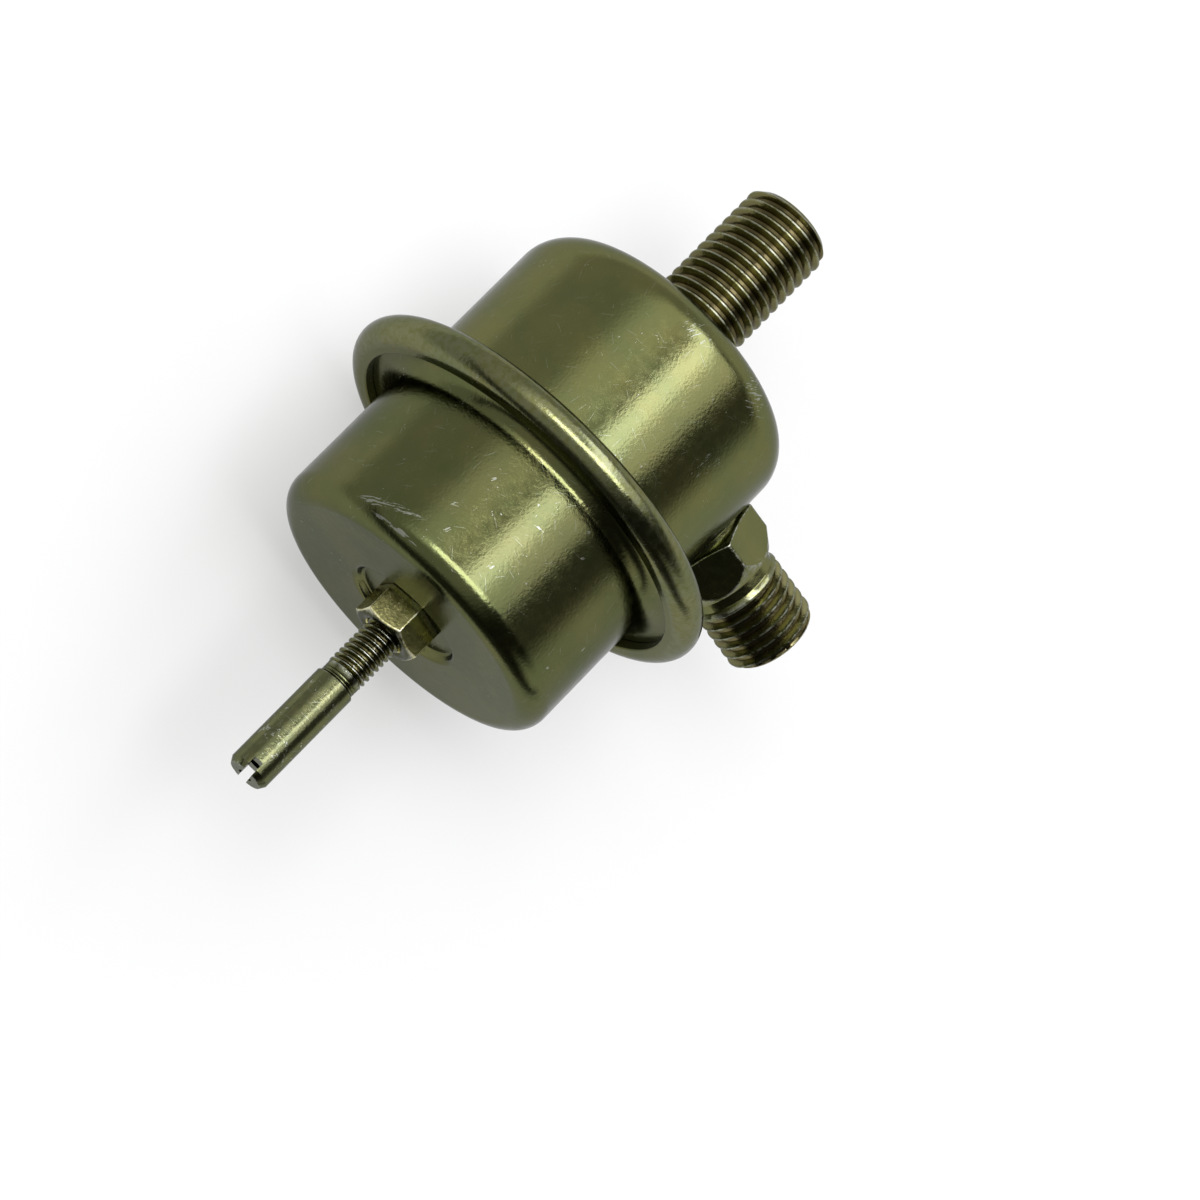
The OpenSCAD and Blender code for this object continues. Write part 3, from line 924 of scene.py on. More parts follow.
def rod_mesh(r: float, length: float, where: Matrix, sides: int = 96) -> Mesh:
    """Make a rod along its local Z axis, centred there.

    Args:
        r: Its radius.
        length: Its length.
        where: Its place, in metres.
        sides: Its number of sides.

    Returns:
        The mesh.
    """
    work = bmesh.new()
    bmesh.ops.create_cone(
        work, cap_ends=True, segments=sides, radius1=r * MM, radius2=r * MM, depth=length * MM, matrix=where)
    return pour(work, bpy.data.meshes.new("rod"))


def block_mesh(size: Vector, where: Matrix) -> Mesh:
    """Make a block.

    Args:
        size: Its three sides.
        where: Its place, in metres.

    Returns:
        The mesh.
    """
    work = bmesh.new()
    bmesh.ops.create_cube(work, size=1.0, matrix=where @ Matrix.Diagonal((*(size * MM), 1.0)))
    return pour(work, bpy.data.meshes.new("block"))


@dataclass(frozen=True)
class Chamfer:
    """A turned chamfer on a hexagon: its angle from the end face and the radius left of that face."""

    angle: float
    face_r: float

    def drop(self, r: float) -> float:
        """Give how far the chamfer has come down from the end face at a radius."""
        return (r - self.face_r) * math.tan(math.radians(self.angle))


@dataclass(frozen=True)
class Hexagon:
    """The outside of a chamfered hexagon between two stations, with the worn strip along its lower rim."""

    across_flats: float
    x0: float
    x1: float
    low: Chamfer
    high: Chamfer
    scuff: float = 0.2

    WEAR = 0.9
    RIM_WEAR = 0.6
    SOFT = 0.05
    CORNER_SHARE = 0.9945
    CORNER_NEAR = 1.0e-4

    def rows(self, turn: float) -> Rows:
        """Give the hexagon's outside at one angle.

        Args:
            turn: The angle about the axis, from one of the hexagon's corners.

        Returns:
            Rows from the lower face's edge to the upper face's edge.
        """
        sixth = math.pi / 3
        off = (turn + sixth / 2) % sixth - sixth / 2
        at_corner = abs(off) < self.CORNER_NEAR
        r = self.across_flats / 2 / math.cos(sixth / 2 - abs(off))
        if at_corner:
            r *= self.CORNER_SHARE
        soft, rim = self.SOFT, self.WEAR * self.RIM_WEAR
        worn = self.WEAR if at_corner else 0.0
        base, top = self.x0 + self.low.drop(r), self.x1 - self.high.drop(r)
        return [
            (self.low.face_r, self.x0, 0.0),
            (r - soft, self.x0 + self.low.drop(r - soft), rim),
            (r, base + soft, self.WEAR),
            (r, base + self.scuff, worn),
            (r, top - 4 * soft, worn),
            (r, top - soft, self.WEAR),
            (r - soft, self.x1 - self.high.drop(r - soft), rim),
            (self.high.face_r, self.x1, 0.0),
        ]


@dataclass
class Piece:
    """A turned visual piece that takes the place of a CAD node."""

    layout: Layout
    node: str
    finish: PlatedFinish
    body: Body = Body.HOUSING
    slot: Slot = Slot.HOUSING
    spindle: Spindle = Spindle.MAIN
    columns: int = 288
    first_angle: float = 0.0
    material: Material | None = field(default=None, init=False)

    def mesh(self) -> Mesh:
        """Build the piece's mesh about the local X axis."""
        raise NotImplementedError

    def turned(self, *sleeves: Rows | Callable[[float], Rows], closed: bool = False) -> Mesh:
        """Turn sleeves of points about the local X axis into one mesh.

        Args:
            sleeves: Rows of points, the same all round or given for an angle, as many at every angle.
            closed: Whether the last row of a sleeve joins its first.

        Returns:
            The mesh, with its edge wear as an attribute.
        """
        points: list[Triple] = []
        faces: list[tuple[int, ...]] = []
        worn: list[float] = []
        for sleeve in sleeves:
            base = len(points)
            count = 0
            for column in range(self.columns):
                angle = self.first_angle + 2 * math.pi * column / self.columns
                rows = sleeve(angle) if callable(sleeve) else sleeve
                count = len(rows)
                for r, x, wear in rows:
                    points.append((x * MM, r * math.cos(angle) * MM, r * math.sin(angle) * MM))
                    worn.append(wear)
            for column in range(self.columns):
                here = base + column * count
                there = base + (column + 1) % self.columns * count
                for row in range(count if closed else count - 1):
                    ahead = (row + 1) % count
                    faces.append((here + row, there + row, there + ahead, here + ahead))
        made = bpy.data.meshes.new(self.node)
        made.from_pydata(points, [], faces)
        made.attributes.new("edge_wear", "FLOAT", "POINT").data.foreach_set("value", worn)
        return made

    def place(self, effects: Effects) -> None:
        """Build the piece, dress it and put it in the frame.

        Args:
            effects: The shared shader groups.
        """
        self.material = self.finish.material(effects)
        mesh = self.mesh()
        tidy_mesh(mesh)
        mesh.transform(self.layout.matrix(self.spindle))
        mesh.materials.clear()
        mesh.materials.append(self.material)
        obj = linked(f"{self.node}_visual", mesh)
        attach(obj, self.body.value)
        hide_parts(self.node)
        triangles = sum(len(face.vertices) - 2 for face in mesh.polygons)
        LOG.info("%s: %d triangles", obj.name, triangles)


@dataclass
class FuelHousing(Piece):
    """The drawn cup on the fuel side, whose rim is rolled over the spring housing's flange."""

    node: str = "fuel_housing"
    finish: PlatedFinish = PlatedFinish(
        "fuel_housing_plating", (0.12, 0.133, 0.053), (0.148, 0.148, 0.056), line_share=0.24, patch_r=19.55,
        patches=(
            WornPatch(4.0, 112.0, 3.0, 5.0, 20.0, 0.27),
            WornPatch(13.0, 75.0, 6.0, 4.0, 10.0, 0.24),
            WornPatch(3.0, 80.0, 4.0, 6.0, 50.0, 0.29),
        ))
    wall_r: float = 19.55
    end_corner: float = 5.1
    sheet: float = 1.3
    bend: float = 1.5
    rim_w: float = 4.4
    roll_ease: float = 0.001
    lip_w: float = 3.3
    lip_gap: float = 0.01
    hole_r: float = 6.5
    inlet_hole_r: float = 5.05
    cutter_len: float = 12.0

    def mesh(self) -> Mesh:
        """Turn the cup and cut the inlet's hole.

        Returns:
            The mesh.
        """
        lay = self.layout
        rim_x0 = lay.rim_x1 - self.rim_w
        lip_r = lay.rim_r - self.lip_w
        lip_x = lay.rim_x1 - self.sheet + self.lip_gap
        inner_r = self.wall_r - self.sheet
        roll_r = lay.rim_r - self.sheet
        half = self.rim_w / 2
        small = half - self.sheet
        rows = Outline(
            Corner(self.hole_r, 0.0, 0.12),
            Corner(self.wall_r, 0.0, self.end_corner),
            Corner(self.wall_r, rim_x0, self.bend),
            Corner(lay.rim_r, rim_x0, half - self.roll_ease, 0.1),
            Corner(lay.rim_r, lay.rim_x1, half - self.roll_ease, 0.1),
            Corner(lip_r, lay.rim_x1, 0.22),
            Corner(lip_r, lip_x, 0.1),
            Corner(roll_r, lip_x, small),
            Corner(roll_r, rim_x0 + self.sheet, small),
            Corner(inner_r, rim_x0 + self.sheet, self.bend + self.sheet),
            Corner(inner_r, self.sheet, self.end_corner - self.sheet),
            Corner(self.hole_r, self.sheet, 0.12),
            closed=True).rows()
        blank = self.turned(rows, closed=True)
        tidy_mesh(blank)
        where = moved(lay.inlet_x, self.wall_r) @ Matrix.Rotation(math.pi / 2, 4, "X")
        return cut(blank, [rod_mesh(self.inlet_hole_r, self.cutter_len, where)])


@dataclass
class SpringHousing(Piece):
    """The drawn cup on the spring side, with a shallow recess round the lock nut."""

    node: str = "spring_housing"
    finish: PlatedFinish = PlatedFinish(
        "spring_housing_plating", (0.096, 0.108, 0.043), (0.122, 0.123, 0.049), line_share=0.22, patch_r=19.8,
        patches=(
            WornPatch(45.2, 137.0, 9.0, 0.5, 90.0, 0.38),
            WornPatch(43.9, 148.0, 6.5, 1.1, 70.0, 0.36),
            WornPatch(43.0, 138.0, 4.5, 0.9, 65.0, 0.34),
            WornPatch(33.6, 125.0, 1.0, 0.6, 30.0, 0.36),
            WornPatch(38.8, 128.0, 1.8, 0.6, 60.0, 0.34),
            WornPatch(41.7, 124.0, 1.5, 0.5, 20.0, 0.34),
            WornPatch(41.1, 105.4, 0.9, 0.5, 20.0, 0.34),
            WornPatch(33.9, 102.5, 1.7, 0.3, 85.0, 0.36),
            WornPatch(32.0, 85.2, 1.1, 0.6, 20.0, 0.32),
            WornPatch(37.3, 54.6, 1.0, 0.7, 0.0, 0.34),
            WornPatch(42.6, 62.3, 1.0, 0.6, 40.0, 0.34),
        ))
    wall_r: float = 19.8
    end_corner: float = 2.9
    sheet: float = 1.2
    bend: float = 2.2
    flange_x: float = 26.3
    flange_r: float = 24.3
    hole_r: float = 3.675
    recess_r: float = 7.5
    recess_side: float = 0.5

    def mesh(self) -> Mesh:
        """Turn the cup.

        Returns:
            The mesh.
        """
        end_x = self.layout.end_x
        floor_x = self.layout.nut_x0
        inner_r = self.wall_r - self.sheet
        shift = self.sheet * math.tan(math.atan2(end_x - floor_x, self.recess_side) / 2)
        rows = Outline(
            Corner(self.hole_r, floor_x, 0.1),
            Corner(self.recess_r - self.recess_side, floor_x, 0.5),
            Corner(self.recess_r, end_x, 0.7),
            Corner(self.wall_r, end_x, self.end_corner),
            Corner(self.wall_r, self.flange_x, self.bend),
            Corner(self.flange_r, self.flange_x, 0.1),
            Corner(self.flange_r, self.flange_x - self.sheet, 0.1),
            Corner(inner_r, self.flange_x - self.sheet, self.bend + self.sheet),
            Corner(inner_r, end_x - self.sheet, self.end_corner - self.sheet),
            Corner(self.recess_r + shift, end_x - self.sheet, 0.2),
            Corner(self.recess_r - self.recess_side + shift, floor_x - self.sheet, 0.4),
            Corner(self.hole_r, floor_x - self.sheet, 0.1),
            closed=True).rows()
        return self.turned(rows, closed=True)


@dataclass
class ThreadedPiece(Piece):
    """A turned piece that carries a thread."""

    winder: ThreadWinder = field(default_factory=ThreadWinder)
    slot: Slot = Slot.PORT
    columns: int = 180
    pitch: float = 1.5
    major_r: float = 5.95

    def wound(self, blank: Mesh, **sizes: float) -> Mesh:
        """Wind this piece's thread onto its blank, with the sizes of the thread's two ends."""
        thread = Thread(self.pitch, self.major_r, **sizes)
        return self.winder.wind(blank, thread, self.columns, self.first_angle, self.material)


@dataclass
class ReturnStud(ThreadedPiece):
    """The threaded stud of the return port, its head inside the fuel housing."""

    node: str = "return_stud"
    # The stud's root colour is about half as bright as its plating: partly a brownish tint, partly painted
    # shade in the thread's valleys
    finish: PlatedFinish = PlatedFinish(
        "stud_plating", (0.165, 0.168, 0.072), (0.195, 0.19, 0.08), bare=(0.3, 0.31, 0.265),
        flank=(0.145, 0.134, 0.056), root=(0.082, 0.069, 0.03), threaded=True)
    chamfer: float = 0.8
    shoulder_r: float = 6.45
    head_r: float = 7.35
    head_bevel: float = 0.4
    sheet: float = 1.3
    seat_tube_r: float = 4.0
    seat_tube_grip: float = 8.0
    bore_r: float = 3.0
    mouth_r: float = 4.5
    cone_depth: float = 2.598
    base_fade: float = 1.3

    def mesh(self) -> Mesh:
        """Turn the blank and wind the thread.

        Returns:
            The mesh.
        """
        end = self.layout.stud_x
        head_x = self.layout.stud_head_x
        tip_r = self.major_r - self.chamfer
        rows = Outline(
            Corner(self.major_r, 0.0),
            Corner(self.shoulder_r, 0.0, 0.05),
            Corner(self.shoulder_r, self.sheet, 0.05),
            Corner(self.head_r, self.sheet, 0.1),
            Corner(self.head_r - self.head_bevel, head_x, 0.1),
            Corner(self.seat_tube_r, head_x, 0.05),
            Corner(self.seat_tube_r, -self.seat_tube_grip, 0.05),
            Corner(self.bore_r, -self.seat_tube_grip, 0.05),
            Corner(self.bore_r, end + self.cone_depth, 0.2),
            Corner(self.mouth_r, end, 0.08, 0.5),
            Corner(tip_r, end)).rows()
        return self.wound(
            self.turned(rows), start=end, end=0.0, start_radius=tip_r, end_radius=self.major_r,
            start_chamfer=self.chamfer, end_chamfer=0.1, start_fade=0.35, end_fade=self.base_fade)


@dataclass
class InletFitting(ThreadedPiece):
    """The inlet fitting: spigot, collar on the curved wall, hexagon, waist and thread."""

    node: str = "inlet_fitting"
    finish: PlatedFinish = PlatedFinish(
        "inlet_plating", (0.13, 0.14, 0.058), (0.155, 0.158, 0.064), bare=(0.34, 0.35, 0.31),
        flank=(0.235, 0.226, 0.102), root=(0.14, 0.122, 0.056), threaded=True)
    spindle: Spindle = Spindle.INLET
    first_angle: float = math.radians(3.0)
    chamfer: float = 0.8
    housing_r: float = 19.6
    spigot_r: float = 5.0
    spigot_len: float = 1.0
    collar_r: float = 6.0
    hex_y: float = 19.65
    hex_len: float = 6.05
    across_flats: float = 13.0
    back: Chamfer = Chamfer(20.0, 6.305)
    front: Chamfer = Chamfer(64.0, 6.4025)
    face_step: float = 0.02
    thread_y: float = 27.95
    waist_r: float = 5.6
    waist_rise: float = 0.6
    bore_r: float = 3.0
    mouth_r: float = 4.5
    cone_depth: float = 2.598

    def mesh(self) -> Mesh:
        """Shape the blank and wind the thread.

        Returns:
            The mesh.
        """
        tip = self.layout.inlet_tip_y
        inner = self.layout.inlet_inner_y
        tip_r = self.major_r - self.chamfer
        hex_y1 = self.hex_y + self.hex_len
        mouth = Outline(
            Corner(tip_r, tip),
            Corner(self.mouth_r, tip, 0.08, 0.5),
            Corner(self.bore_r, tip - self.cone_depth, 0.2),
            Corner(self.bore_r, inner, 0.1),
            Corner(self.spigot_r, inner, 0.2),
            Corner(self.spigot_r, inner + self.spigot_len)).rows()
        neck = Outline(
            Corner(self.front.face_r - self.face_step, hex_y1),
            Corner(self.waist_r, hex_y1, 0.1),
            Corner(self.waist_r, self.thread_y - self.waist_rise, 0.3),
            Corner(self.major_r, self.thread_y)).rows()
        hexagon = Hexagon(self.across_flats, self.hex_y, hex_y1, self.back, self.front)

        def rows_at(angle: float) -> Rows:
            """Give the rows at an angle, where the collar meets the curved wall.

            Args:
                angle: The angle about the fitting's own axis.

            Returns:
                The rows from the mouth over the spigot, the collar and the hexagon to the thread.
            """
            height = math.cos(angle)
            wall_in = math.sqrt(self.housing_r ** 2 - (self.spigot_r * height) ** 2)
            wall_out = math.sqrt(self.housing_r ** 2 - (self.collar_r * height) ** 2)
            collar = [
                (self.spigot_r, wall_in, 0.0),
                (self.collar_r, wall_out, 0.0),
                (self.collar_r, (wall_out + self.hex_y) / 2, 0.0),
                (self.collar_r, self.hex_y, 0.0),
            ]
            return mouth + collar + hexagon.rows(angle - self.first_angle) + neck

        return self.wound(
            self.turned(rows_at), start=self.thread_y, end=tip, start_radius=self.major_r, end_radius=tip_r,
            start_chamfer=0.1, end_chamfer=self.chamfer, start_fade=0.5, end_fade=0.35)


@dataclass
class AdjustingScrew(ThreadedPiece):
    """The adjusting screw, whose plain slotted end is the vacuum nipple."""

    node: str = "adjusting_screw"
    finish: PlatedFinish = PlatedFinish(
        "screw_plating", (0.1, 0.108, 0.052), (0.13, 0.134, 0.062), roughness=0.15, grain_scale=3400.0,
        chip_share=0.5, line_share=0.6, drift_scale=700.0, threaded=True)
    body: Body = Body.SCREW
    slot: Slot = Slot.ADJUSTER
    columns: int = 112
    pitch: float = 0.8
    major_r: float = 2.475
    nose_chamfer: float = 0.8
    nipple_x: float = 57.85
    relief_w: float = 1.4
    relief_depth: float = 0.12
    shank_edge: float = 0.25
    ring_places: tuple[float, ...] = (0.7, 0.3)
    ring_half: float = 0.1
    ring_depth: float = 0.07
    tip_chamfer: float = 0.75
    tip_taper: float = 0.45
    bore_r: float = 0.9
    cross_hole: float = 1.3
    cross_hole_len: float = 8.0
    cross_hole_sides: int = 48
    slot_w: float = 1.2
    slot_depth: float = 1.8
    slot_angle: float = 116.0
    slot_len: float = 12.0
    slot_over: float = 1.0

    def mesh(self) -> Mesh:
        """Turn the blank, wind the thread and cut the slot and the cross hole.

        Returns:
            The mesh.
        """
        lay = self.layout
        nose_r = self.major_r - self.nose_chamfer
        relief_r = self.major_r - self.relief_depth
        relief_x = self.nipple_x - self.relief_w
        cross_hole_x = lay.nose_x + self.cross_hole
        rings: list[Corner] = []
        for back in self.ring_places:
            middle = self.nipple_x - back
            rings += [
                Corner(relief_r, middle - self.ring_half),
                Corner(relief_r - self.ring_depth, middle),
                Corner(relief_r, middle + self.ring_half),
            ]
        shank = Outline(
            Corner(relief_r, relief_x),
            *rings,
            Corner(relief_r, self.nipple_x),
            Corner(lay.nipple_r - self.shank_edge, self.nipple_x),
            Corner(lay.nipple_r, self.nipple_x + self.shank_edge, 0.1, 0.3),
            Corner(lay.nipple_r, lay.tip_x - self.tip_chamfer, 0.15),
            Corner(lay.nipple_r - self.tip_taper, lay.tip_x, 0.1, 0.6),
            Corner(self.bore_r, lay.tip_x, 0.06),
            Corner(self.bore_r, cross_hole_x, 0.02),
            Corner(0.0, cross_hole_x)).rows()
        nose = [(0.0, lay.nose_x, 0.0), (nose_r, lay.nose_x, 0.0)]
        made = self.wound(
            self.turned(shank, nose), start=lay.nose_x, end=relief_x, start_radius=nose_r,
            end_radius=relief_r, start_chamfer=self.nose_chamfer, end_chamfer=0.2, start_fade=0.3,
            end_fade=0.25)
        tidy_mesh(made)
        lean = Matrix.Rotation(math.radians(self.slot_angle), 4, "X")
        slot_at = lean @ moved(lay.tip_x + self.slot_over - self.slot_depth / 2)
        slot = block_mesh(Vector((self.slot_depth + 2 * self.slot_over, self.slot_len, self.slot_w)), slot_at)
        hole = rod_mesh(self.bore_r, self.cross_hole_len, moved(cross_hole_x), self.cross_hole_sides)
        return cut(made, [slot, hole])


@dataclass
class LockNut(Piece):
    """The lock nut on the adjusting screw."""

    node: str = "lock_nut"
    # The dark ends colour is painted shade on the nut's end faces and chamfer, a stand-in for their dark
    # reflection; the flats stay bright gold
    finish: PlatedFinish = PlatedFinish(
        "nut_plating", (0.48, 0.46, 0.19), (0.78, 0.73, 0.33), bare=(0.8, 0.79, 0.66), roughness=0.22,
        drift_scale=4200.0, ends=(0.075, 0.077, 0.036))
    body: Body = Body.NUT
    slot: Slot = Slot.ADJUSTER
    columns: int = 240
    first_angle: float = math.radians(42.0)
    across_flats: float = 8.0
    base: Chamfer = Chamfer(0.0, 3.8)
    top: Chamfer = Chamfer(30.0, 3.8)
    bore_r: float = 2.525
    countersink: float = 0.35
    base_scuff: float = 0.8

    def mesh(self) -> Mesh:
        """Shape the nut, the hexagon outside and the bore inside.

        Returns:
            The mesh.
        """
        x0, x1 = self.layout.nut_x0, self.layout.nut_x1
        hexagon = Hexagon(self.across_flats, x0, x1, self.base, self.top, self.base_scuff)
        bore = [
            (self.bore_r + self.countersink, x1, 0.0),
            (self.bore_r, x1 - self.countersink, 0.0),
            (self.bore_r, x0, 0.0),
        ]
        return self.turned(lambda angle: hexagon.rows(angle - self.first_angle) + bore, closed=True)


@dataclass(frozen=True)
class MainSpring:
    """The main spring in two halves, cut through its middle."""

    node: str = "main_spring"
    slot: Slot = Slot.SPRING

    def half(self, source: Mesh, name: str, middle: float, end: float) -> Mesh:
        """Cut one half out of the CAD spring.

        Args:
            source: The CAD spring's mesh.
            name: Name of the half.
            middle: Station of the cut in metres.
            end: Station of the half's free end.

        Returns:
            The half as a closed mesh.
        """
        work = bmesh.new()
        work.from_mesh(source)
        bmesh.ops.remove_doubles(work, verts=work.verts[:], dist=WELD)
        bmesh.ops.bisect_plane(
            work, geom=work.verts[:] + work.edges[:] + work.faces[:], plane_co=(middle, 0.0, 0.0),
            plane_no=(middle - end, 0.0, 0.0), clear_outer=True)
        bmesh.ops.holes_fill(work, edges=[edge for edge in work.edges if edge.is_boundary])
        bmesh.ops.recalc_face_normals(work, faces=work.faces[:])
        return pour(work, bpy.data.meshes.new(name))

    def place(self, cad_node: Object, material: Material) -> None:
        """Put both halves in the frame.

        Args:
            cad_node: The CAD spring.
            material: Its material.
        """
        low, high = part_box(self.node)
        middle = 0.5 * (low.x + high.x)
        for part, body, end in (("valve_half", Body.VALVE, low.x), ("seat_half", Body.SEAT, high.x)):
            mesh = self.half(cad_node.data, f"{self.node}_{part}", middle, end)
            mesh.materials.append(material)
            obj = linked(mesh.name, mesh)
            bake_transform(obj)
            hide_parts(self.node)
            LOG.info("%s: %d faces, follows %s at its end", obj.name, len(mesh.polygons), body.value)


@dataclass(frozen=True)
class SoftLight:
    """A soft light in the studio's surroundings: where it is, its two half sizes, its level and its tint."""

    aim: Triple
    side: Triple
    half_width: float
    half_height: float
    level: float
    softness: float = 0.08
    tint: Colour = (1.0, 1.0, 1.0)


@dataclass
class Studio:
    """Floor, surroundings and camera. A span says where a change of tone begins and where it ends."""

    floor_z: float
    effects: Effects
    floor_size: float = 30.0
    floor_tone: Colour = (0.352, 0.352, 0.331)
    floor_lift: float = 0.47
    floor_roughness: float = 0.9
    floor_gloss: float = 0.1
    # painted_side_shade and painted_front_shade darken the floor for reflected rays only: painted shade that
    # the metal shows in its reflections
    painted_side_shade: float = 0.4
    painted_side_span: Span = (-0.055, -0.085)
    painted_front_shade: float = 0.95
    painted_front_span: Span = (0.1, 0.19)
    dark_levels: Span = (0.14, 0.03)
    dark_span: Span = (-0.28, 0.05)
    front_level: float = 0.06
    pale_level: float = 0.61
    pale_span: Span = (1.0, 0.85)
    room_span: Span = (0.35, -0.15)
    room_tint: Colour = (1.0, 1.0, 0.97)
    horizon_level: float = 1.0
    horizon_span: Span = (-0.2, 0.3)
    low_span: Span = (0.58, 0.26)
    back_span: Span = (0.65, 0.25)
    lens: float = 150.0
    sensor: float = 36.0
    clip: Span = (0.01, 100.0)
    eye: Triple = (0.20838, -0.22881, 0.49940)
    right: Triple = (-0.662856, 0.547435, 0.510820)
    down: Triple = (0.681055, 0.724291, 0.107551)
    lights: tuple[SoftLight, ...] = (
        SoftLight((-0.55, -0.12, 0.83), (1.0, 0.0, 0.66), 0.46, 0.135, 4.5, 0.05, (1.0, 1.0, 1.2)),
        SoftLight((-0.5, 0.2, 0.86), (1.0, 0.0, 0.55), 0.42, 0.2, 1.6, 0.07, (1.0, 1.0, 1.08)),
        SoftLight((-0.31, -0.66, 0.69), (1.0, -0.3, 0.0), 0.75, 0.27, 0.85, 0.16),
        SoftLight((-0.015, -0.31, 0.95), (0.0, 0.95, 0.31), 0.46, 0.17, 8.0, 0.04, (1.0, 1.0, 1.1)),
    )

    def build(self) -> None:
        """Build floor, surroundings and camera."""
        self._floor()
        self._world()
        self._camera()

    def _floor(self) -> None:
        """Lay a large pale floor that keeps the object's shadow. Where reflected rays meet it on the -Y side
        and in front of the +X end, it is painted darker: painted shade seen only in reflections.
        """
        half = self.floor_size / 2
        mesh = bpy.data.meshes.new("floor")
        corners = [(x * half, y * half, self.floor_z) for x, y in ((-1, -1), (1, -1), (1, 1), (-1, 1))]
        mesh.from_pydata(corners, [], [(0, 1, 2, 3)])
        floor = linked("floor", mesh)
        material = bpy.data.materials.new("floor_paper")
        graph = Graph.fresh(material)
        path = graph.add("ShaderNodeLightPath").outputs
        seen = graph.plus(path["Is Camera Ray"], path["Is Glossy Ray"])
        seen = graph.math("ADD", seen, path["Is Transmission Ray"], clamp=True)
        spot = graph.parts(graph.add("ShaderNodeTexCoord").outputs["Object"])
        # Painted shade in reflections: glossy rays see the floor darker on the -Y side and in front of the +X
        # end
        side = graph.ramp(spot[1], *self.painted_side_span, 0.0, self.painted_side_shade)
        front = graph.ramp(spot[0], *self.painted_front_span, 0.0, self.painted_front_shade)
        share = graph.minus(1.0, graph.times(graph.math("MAXIMUM", side, front), path["Is Glossy Ray"]))
        graph.surface(None, {
            "Base Color": graph.vector("MULTIPLY", share, self.floor_tone),
            "Roughness": self.floor_roughness,
            "Specular IOR Level": self.floor_gloss,
            "Emission Color": (1.0, 1.0, 1.0, 1.0),
            "Emission Strength": graph.times(seen, graph.times(share, self.floor_lift)),
        })
        mesh.materials.append(material)

    def _world(self) -> None:
        """Build the surroundings: a room dark on the inlet's side, a pale horizon and the soft lights."""
        world = bpy.data.worlds.new("studio")
        graph = Graph.fresh(world)
        towards = graph.add("ShaderNodeTexCoord").outputs["Generated"]
        x, y, z = graph.parts(towards)
        dark = graph.ramp(x, *self.dark_span, *self.dark_levels)
        pale = graph.ramp(x, *self.pale_span, self.front_level, self.pale_level)
        room = graph.ramp(y, *self.room_span, dark, pale)
        glow = graph.ramp(y, *self.horizon_span, self.pale_level, self.horizon_level)
        low = graph.times(graph.ramp(z, *self.low_span), graph.ramp(x, *self.back_span))
        level = graph.math("MULTIPLY_ADD", graph.minus(glow, room), low, room)
        colour = graph.vector("MULTIPLY", level, self.room_tint)
        for light in self.lights:
            aim = Vector(light.aim).normalized()
            side = Vector(light.side)
            side = (side - side.project(aim)).normalized()
            mask = graph.group(
                self.effects.softbox, towards, aim, side, aim.cross(side), light.half_width,
                light.half_height, light.softness)
            colour = graph.vector("MULTIPLY_ADD", mask, Vector(light.tint) * light.level, colour)
        back = graph.add("ShaderNodeBackground", colour, 1.0)
        graph.add("ShaderNodeOutputWorld", back.outputs[0])
        bpy.context.scene.world = world

    def _camera(self) -> None:
        """Set the camera at the photograph's place."""
        data = bpy.data.cameras.new("photo_camera")
        data.lens = self.lens
        data.sensor_width = self.sensor
        data.clip_start, data.clip_end = self.clip
        camera = linked("photo_camera", data)
        right, down = Vector(self.right), Vector(self.down)
        turn = Matrix((right, -down, -right.cross(down))).transposed()
        camera.matrix_world = Matrix.Translation(Vector(self.eye)) @ turn.to_4x4()
        bpy.context.scene.camera = camera


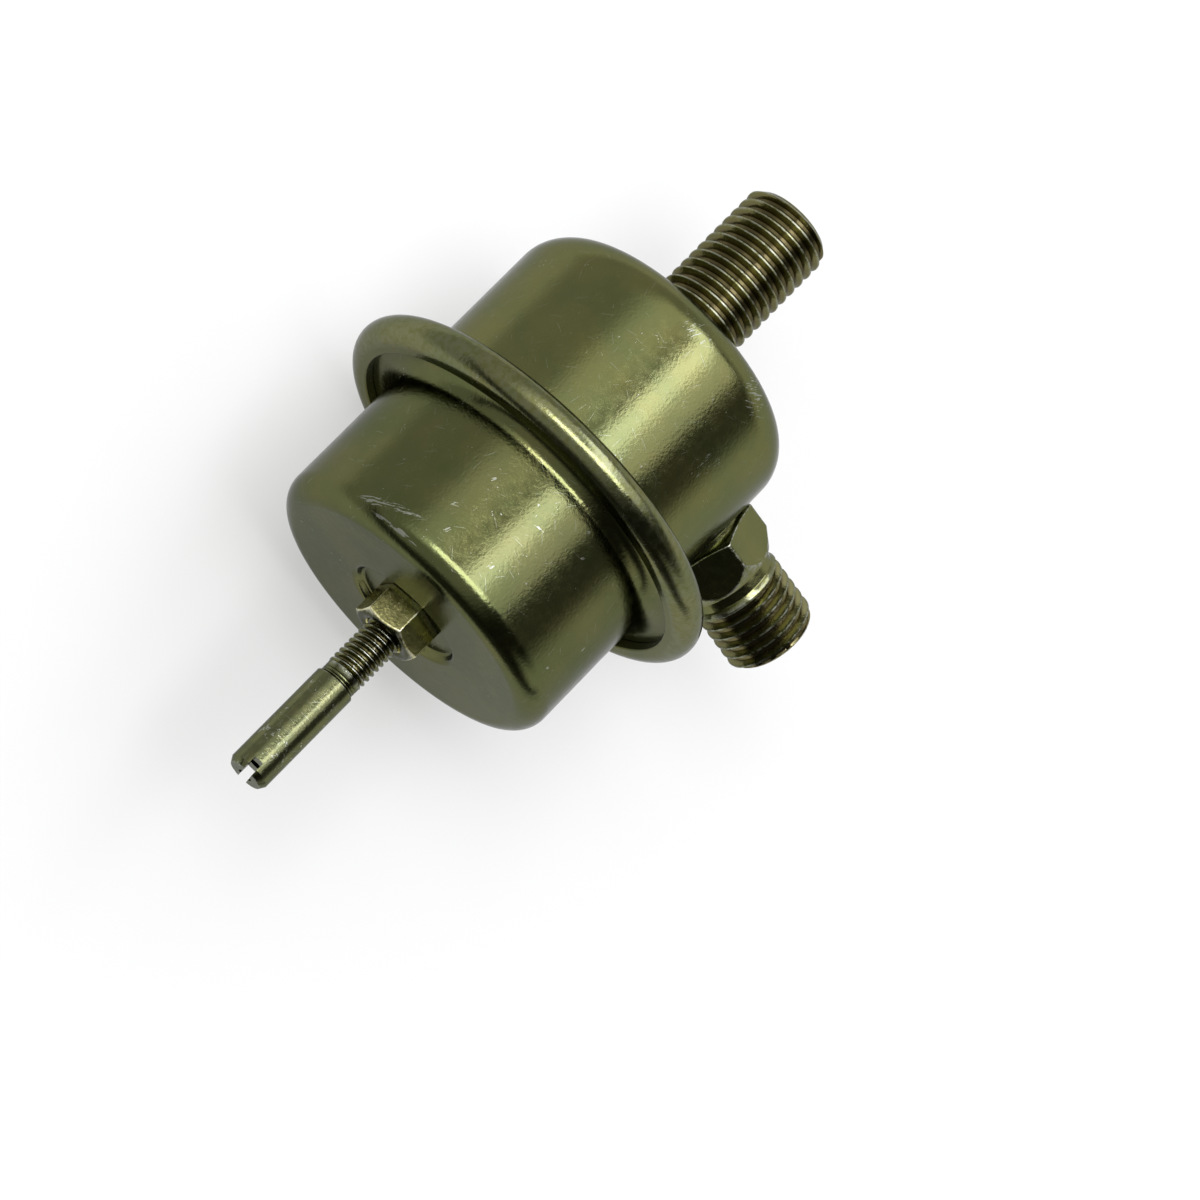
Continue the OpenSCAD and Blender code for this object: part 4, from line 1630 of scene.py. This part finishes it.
class Regulator:
    """The whole regulator: new visual pieces outside and dressed CAD nodes inside."""

    INNER = {
        Slot.STEEL: InnerFinish(
            "bright_steel", (0.5, 0.5, 0.5), (0.58, 0.58, 0.57), 1.0, 0.24, 2400.0, 1.0e-6),
        Slot.SPRING: InnerFinish(
            "spring_steel", (0.16, 0.165, 0.175), (0.26, 0.26, 0.27), 1.0, 0.34, 3000.0, 2.0e-6),
        Slot.BRASS: InnerFinish("brass", (0.6, 0.43, 0.17), (0.68, 0.5, 0.22), 1.0, 0.26, 2400.0, 1.2e-6),
        Slot.RUBBER: InnerFinish(
            "diaphragm_rubber", (0.02, 0.02, 0.021), (0.04, 0.038, 0.036), 0.0, 0.7, 2200.0, 3.0e-5),
    }
    KEPT = {
        Slot.STEEL: ("seat_tube", "fuel_side_plate", "spring_cup", "valve_ball", "valve_disc", "spring_seat"),
        Slot.BRASS: ("valve_holder", "valve_retainer", "threaded_bush"),
        Slot.RUBBER: ("diaphragm",),
    }

    def __init__(self, frame: dict[str, Any], effects: Effects) -> None:
        """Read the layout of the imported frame.

        Args:
            effects: The shared shader groups.
        """
        self.frame = frame
        self.effects = effects
        self.layout = Layout.read()

    def build(self) -> None:
        """Build every outer piece and dress every inner node."""
        lay = self.layout
        winder = ThreadWinder()
        pieces: tuple[Piece, ...] = (
            FuelHousing(lay),
            SpringHousing(lay),
            ReturnStud(lay, winder=winder),
            InletFitting(lay, winder=winder),
            AdjustingScrew(lay, winder=winder),
            LockNut(lay),
        )
        for piece in pieces:
            piece.place(self.effects)
        inner = {slot: finish.material(self.effects) for slot, finish in self.INNER.items()}
        for slot, names in self.KEPT.items():
            for name in names:
                materials = self.frame["nodes"][name].data.materials
                materials.clear()
                materials.append(inner[slot])
                LOG.info("%s: dressed as %s", name, slot.value)
        spring = MainSpring()
        spring.place(self.frame["nodes"][spring.node], inner[spring.slot])


def main() -> None:
    """Build the regulator and its studio."""
    logging.basicConfig(level=logging.INFO, format="%(name)s %(message)s")
    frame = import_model()
    effects = Effects()
    regulator = Regulator(frame, effects)
    regulator.build()
    Studio(floor_z=-regulator.layout.rim_r * MM, effects=effects).build()
    bpy.context.scene.view_settings.view_transform = "Standard"


if __name__ == "__main__":
    main()
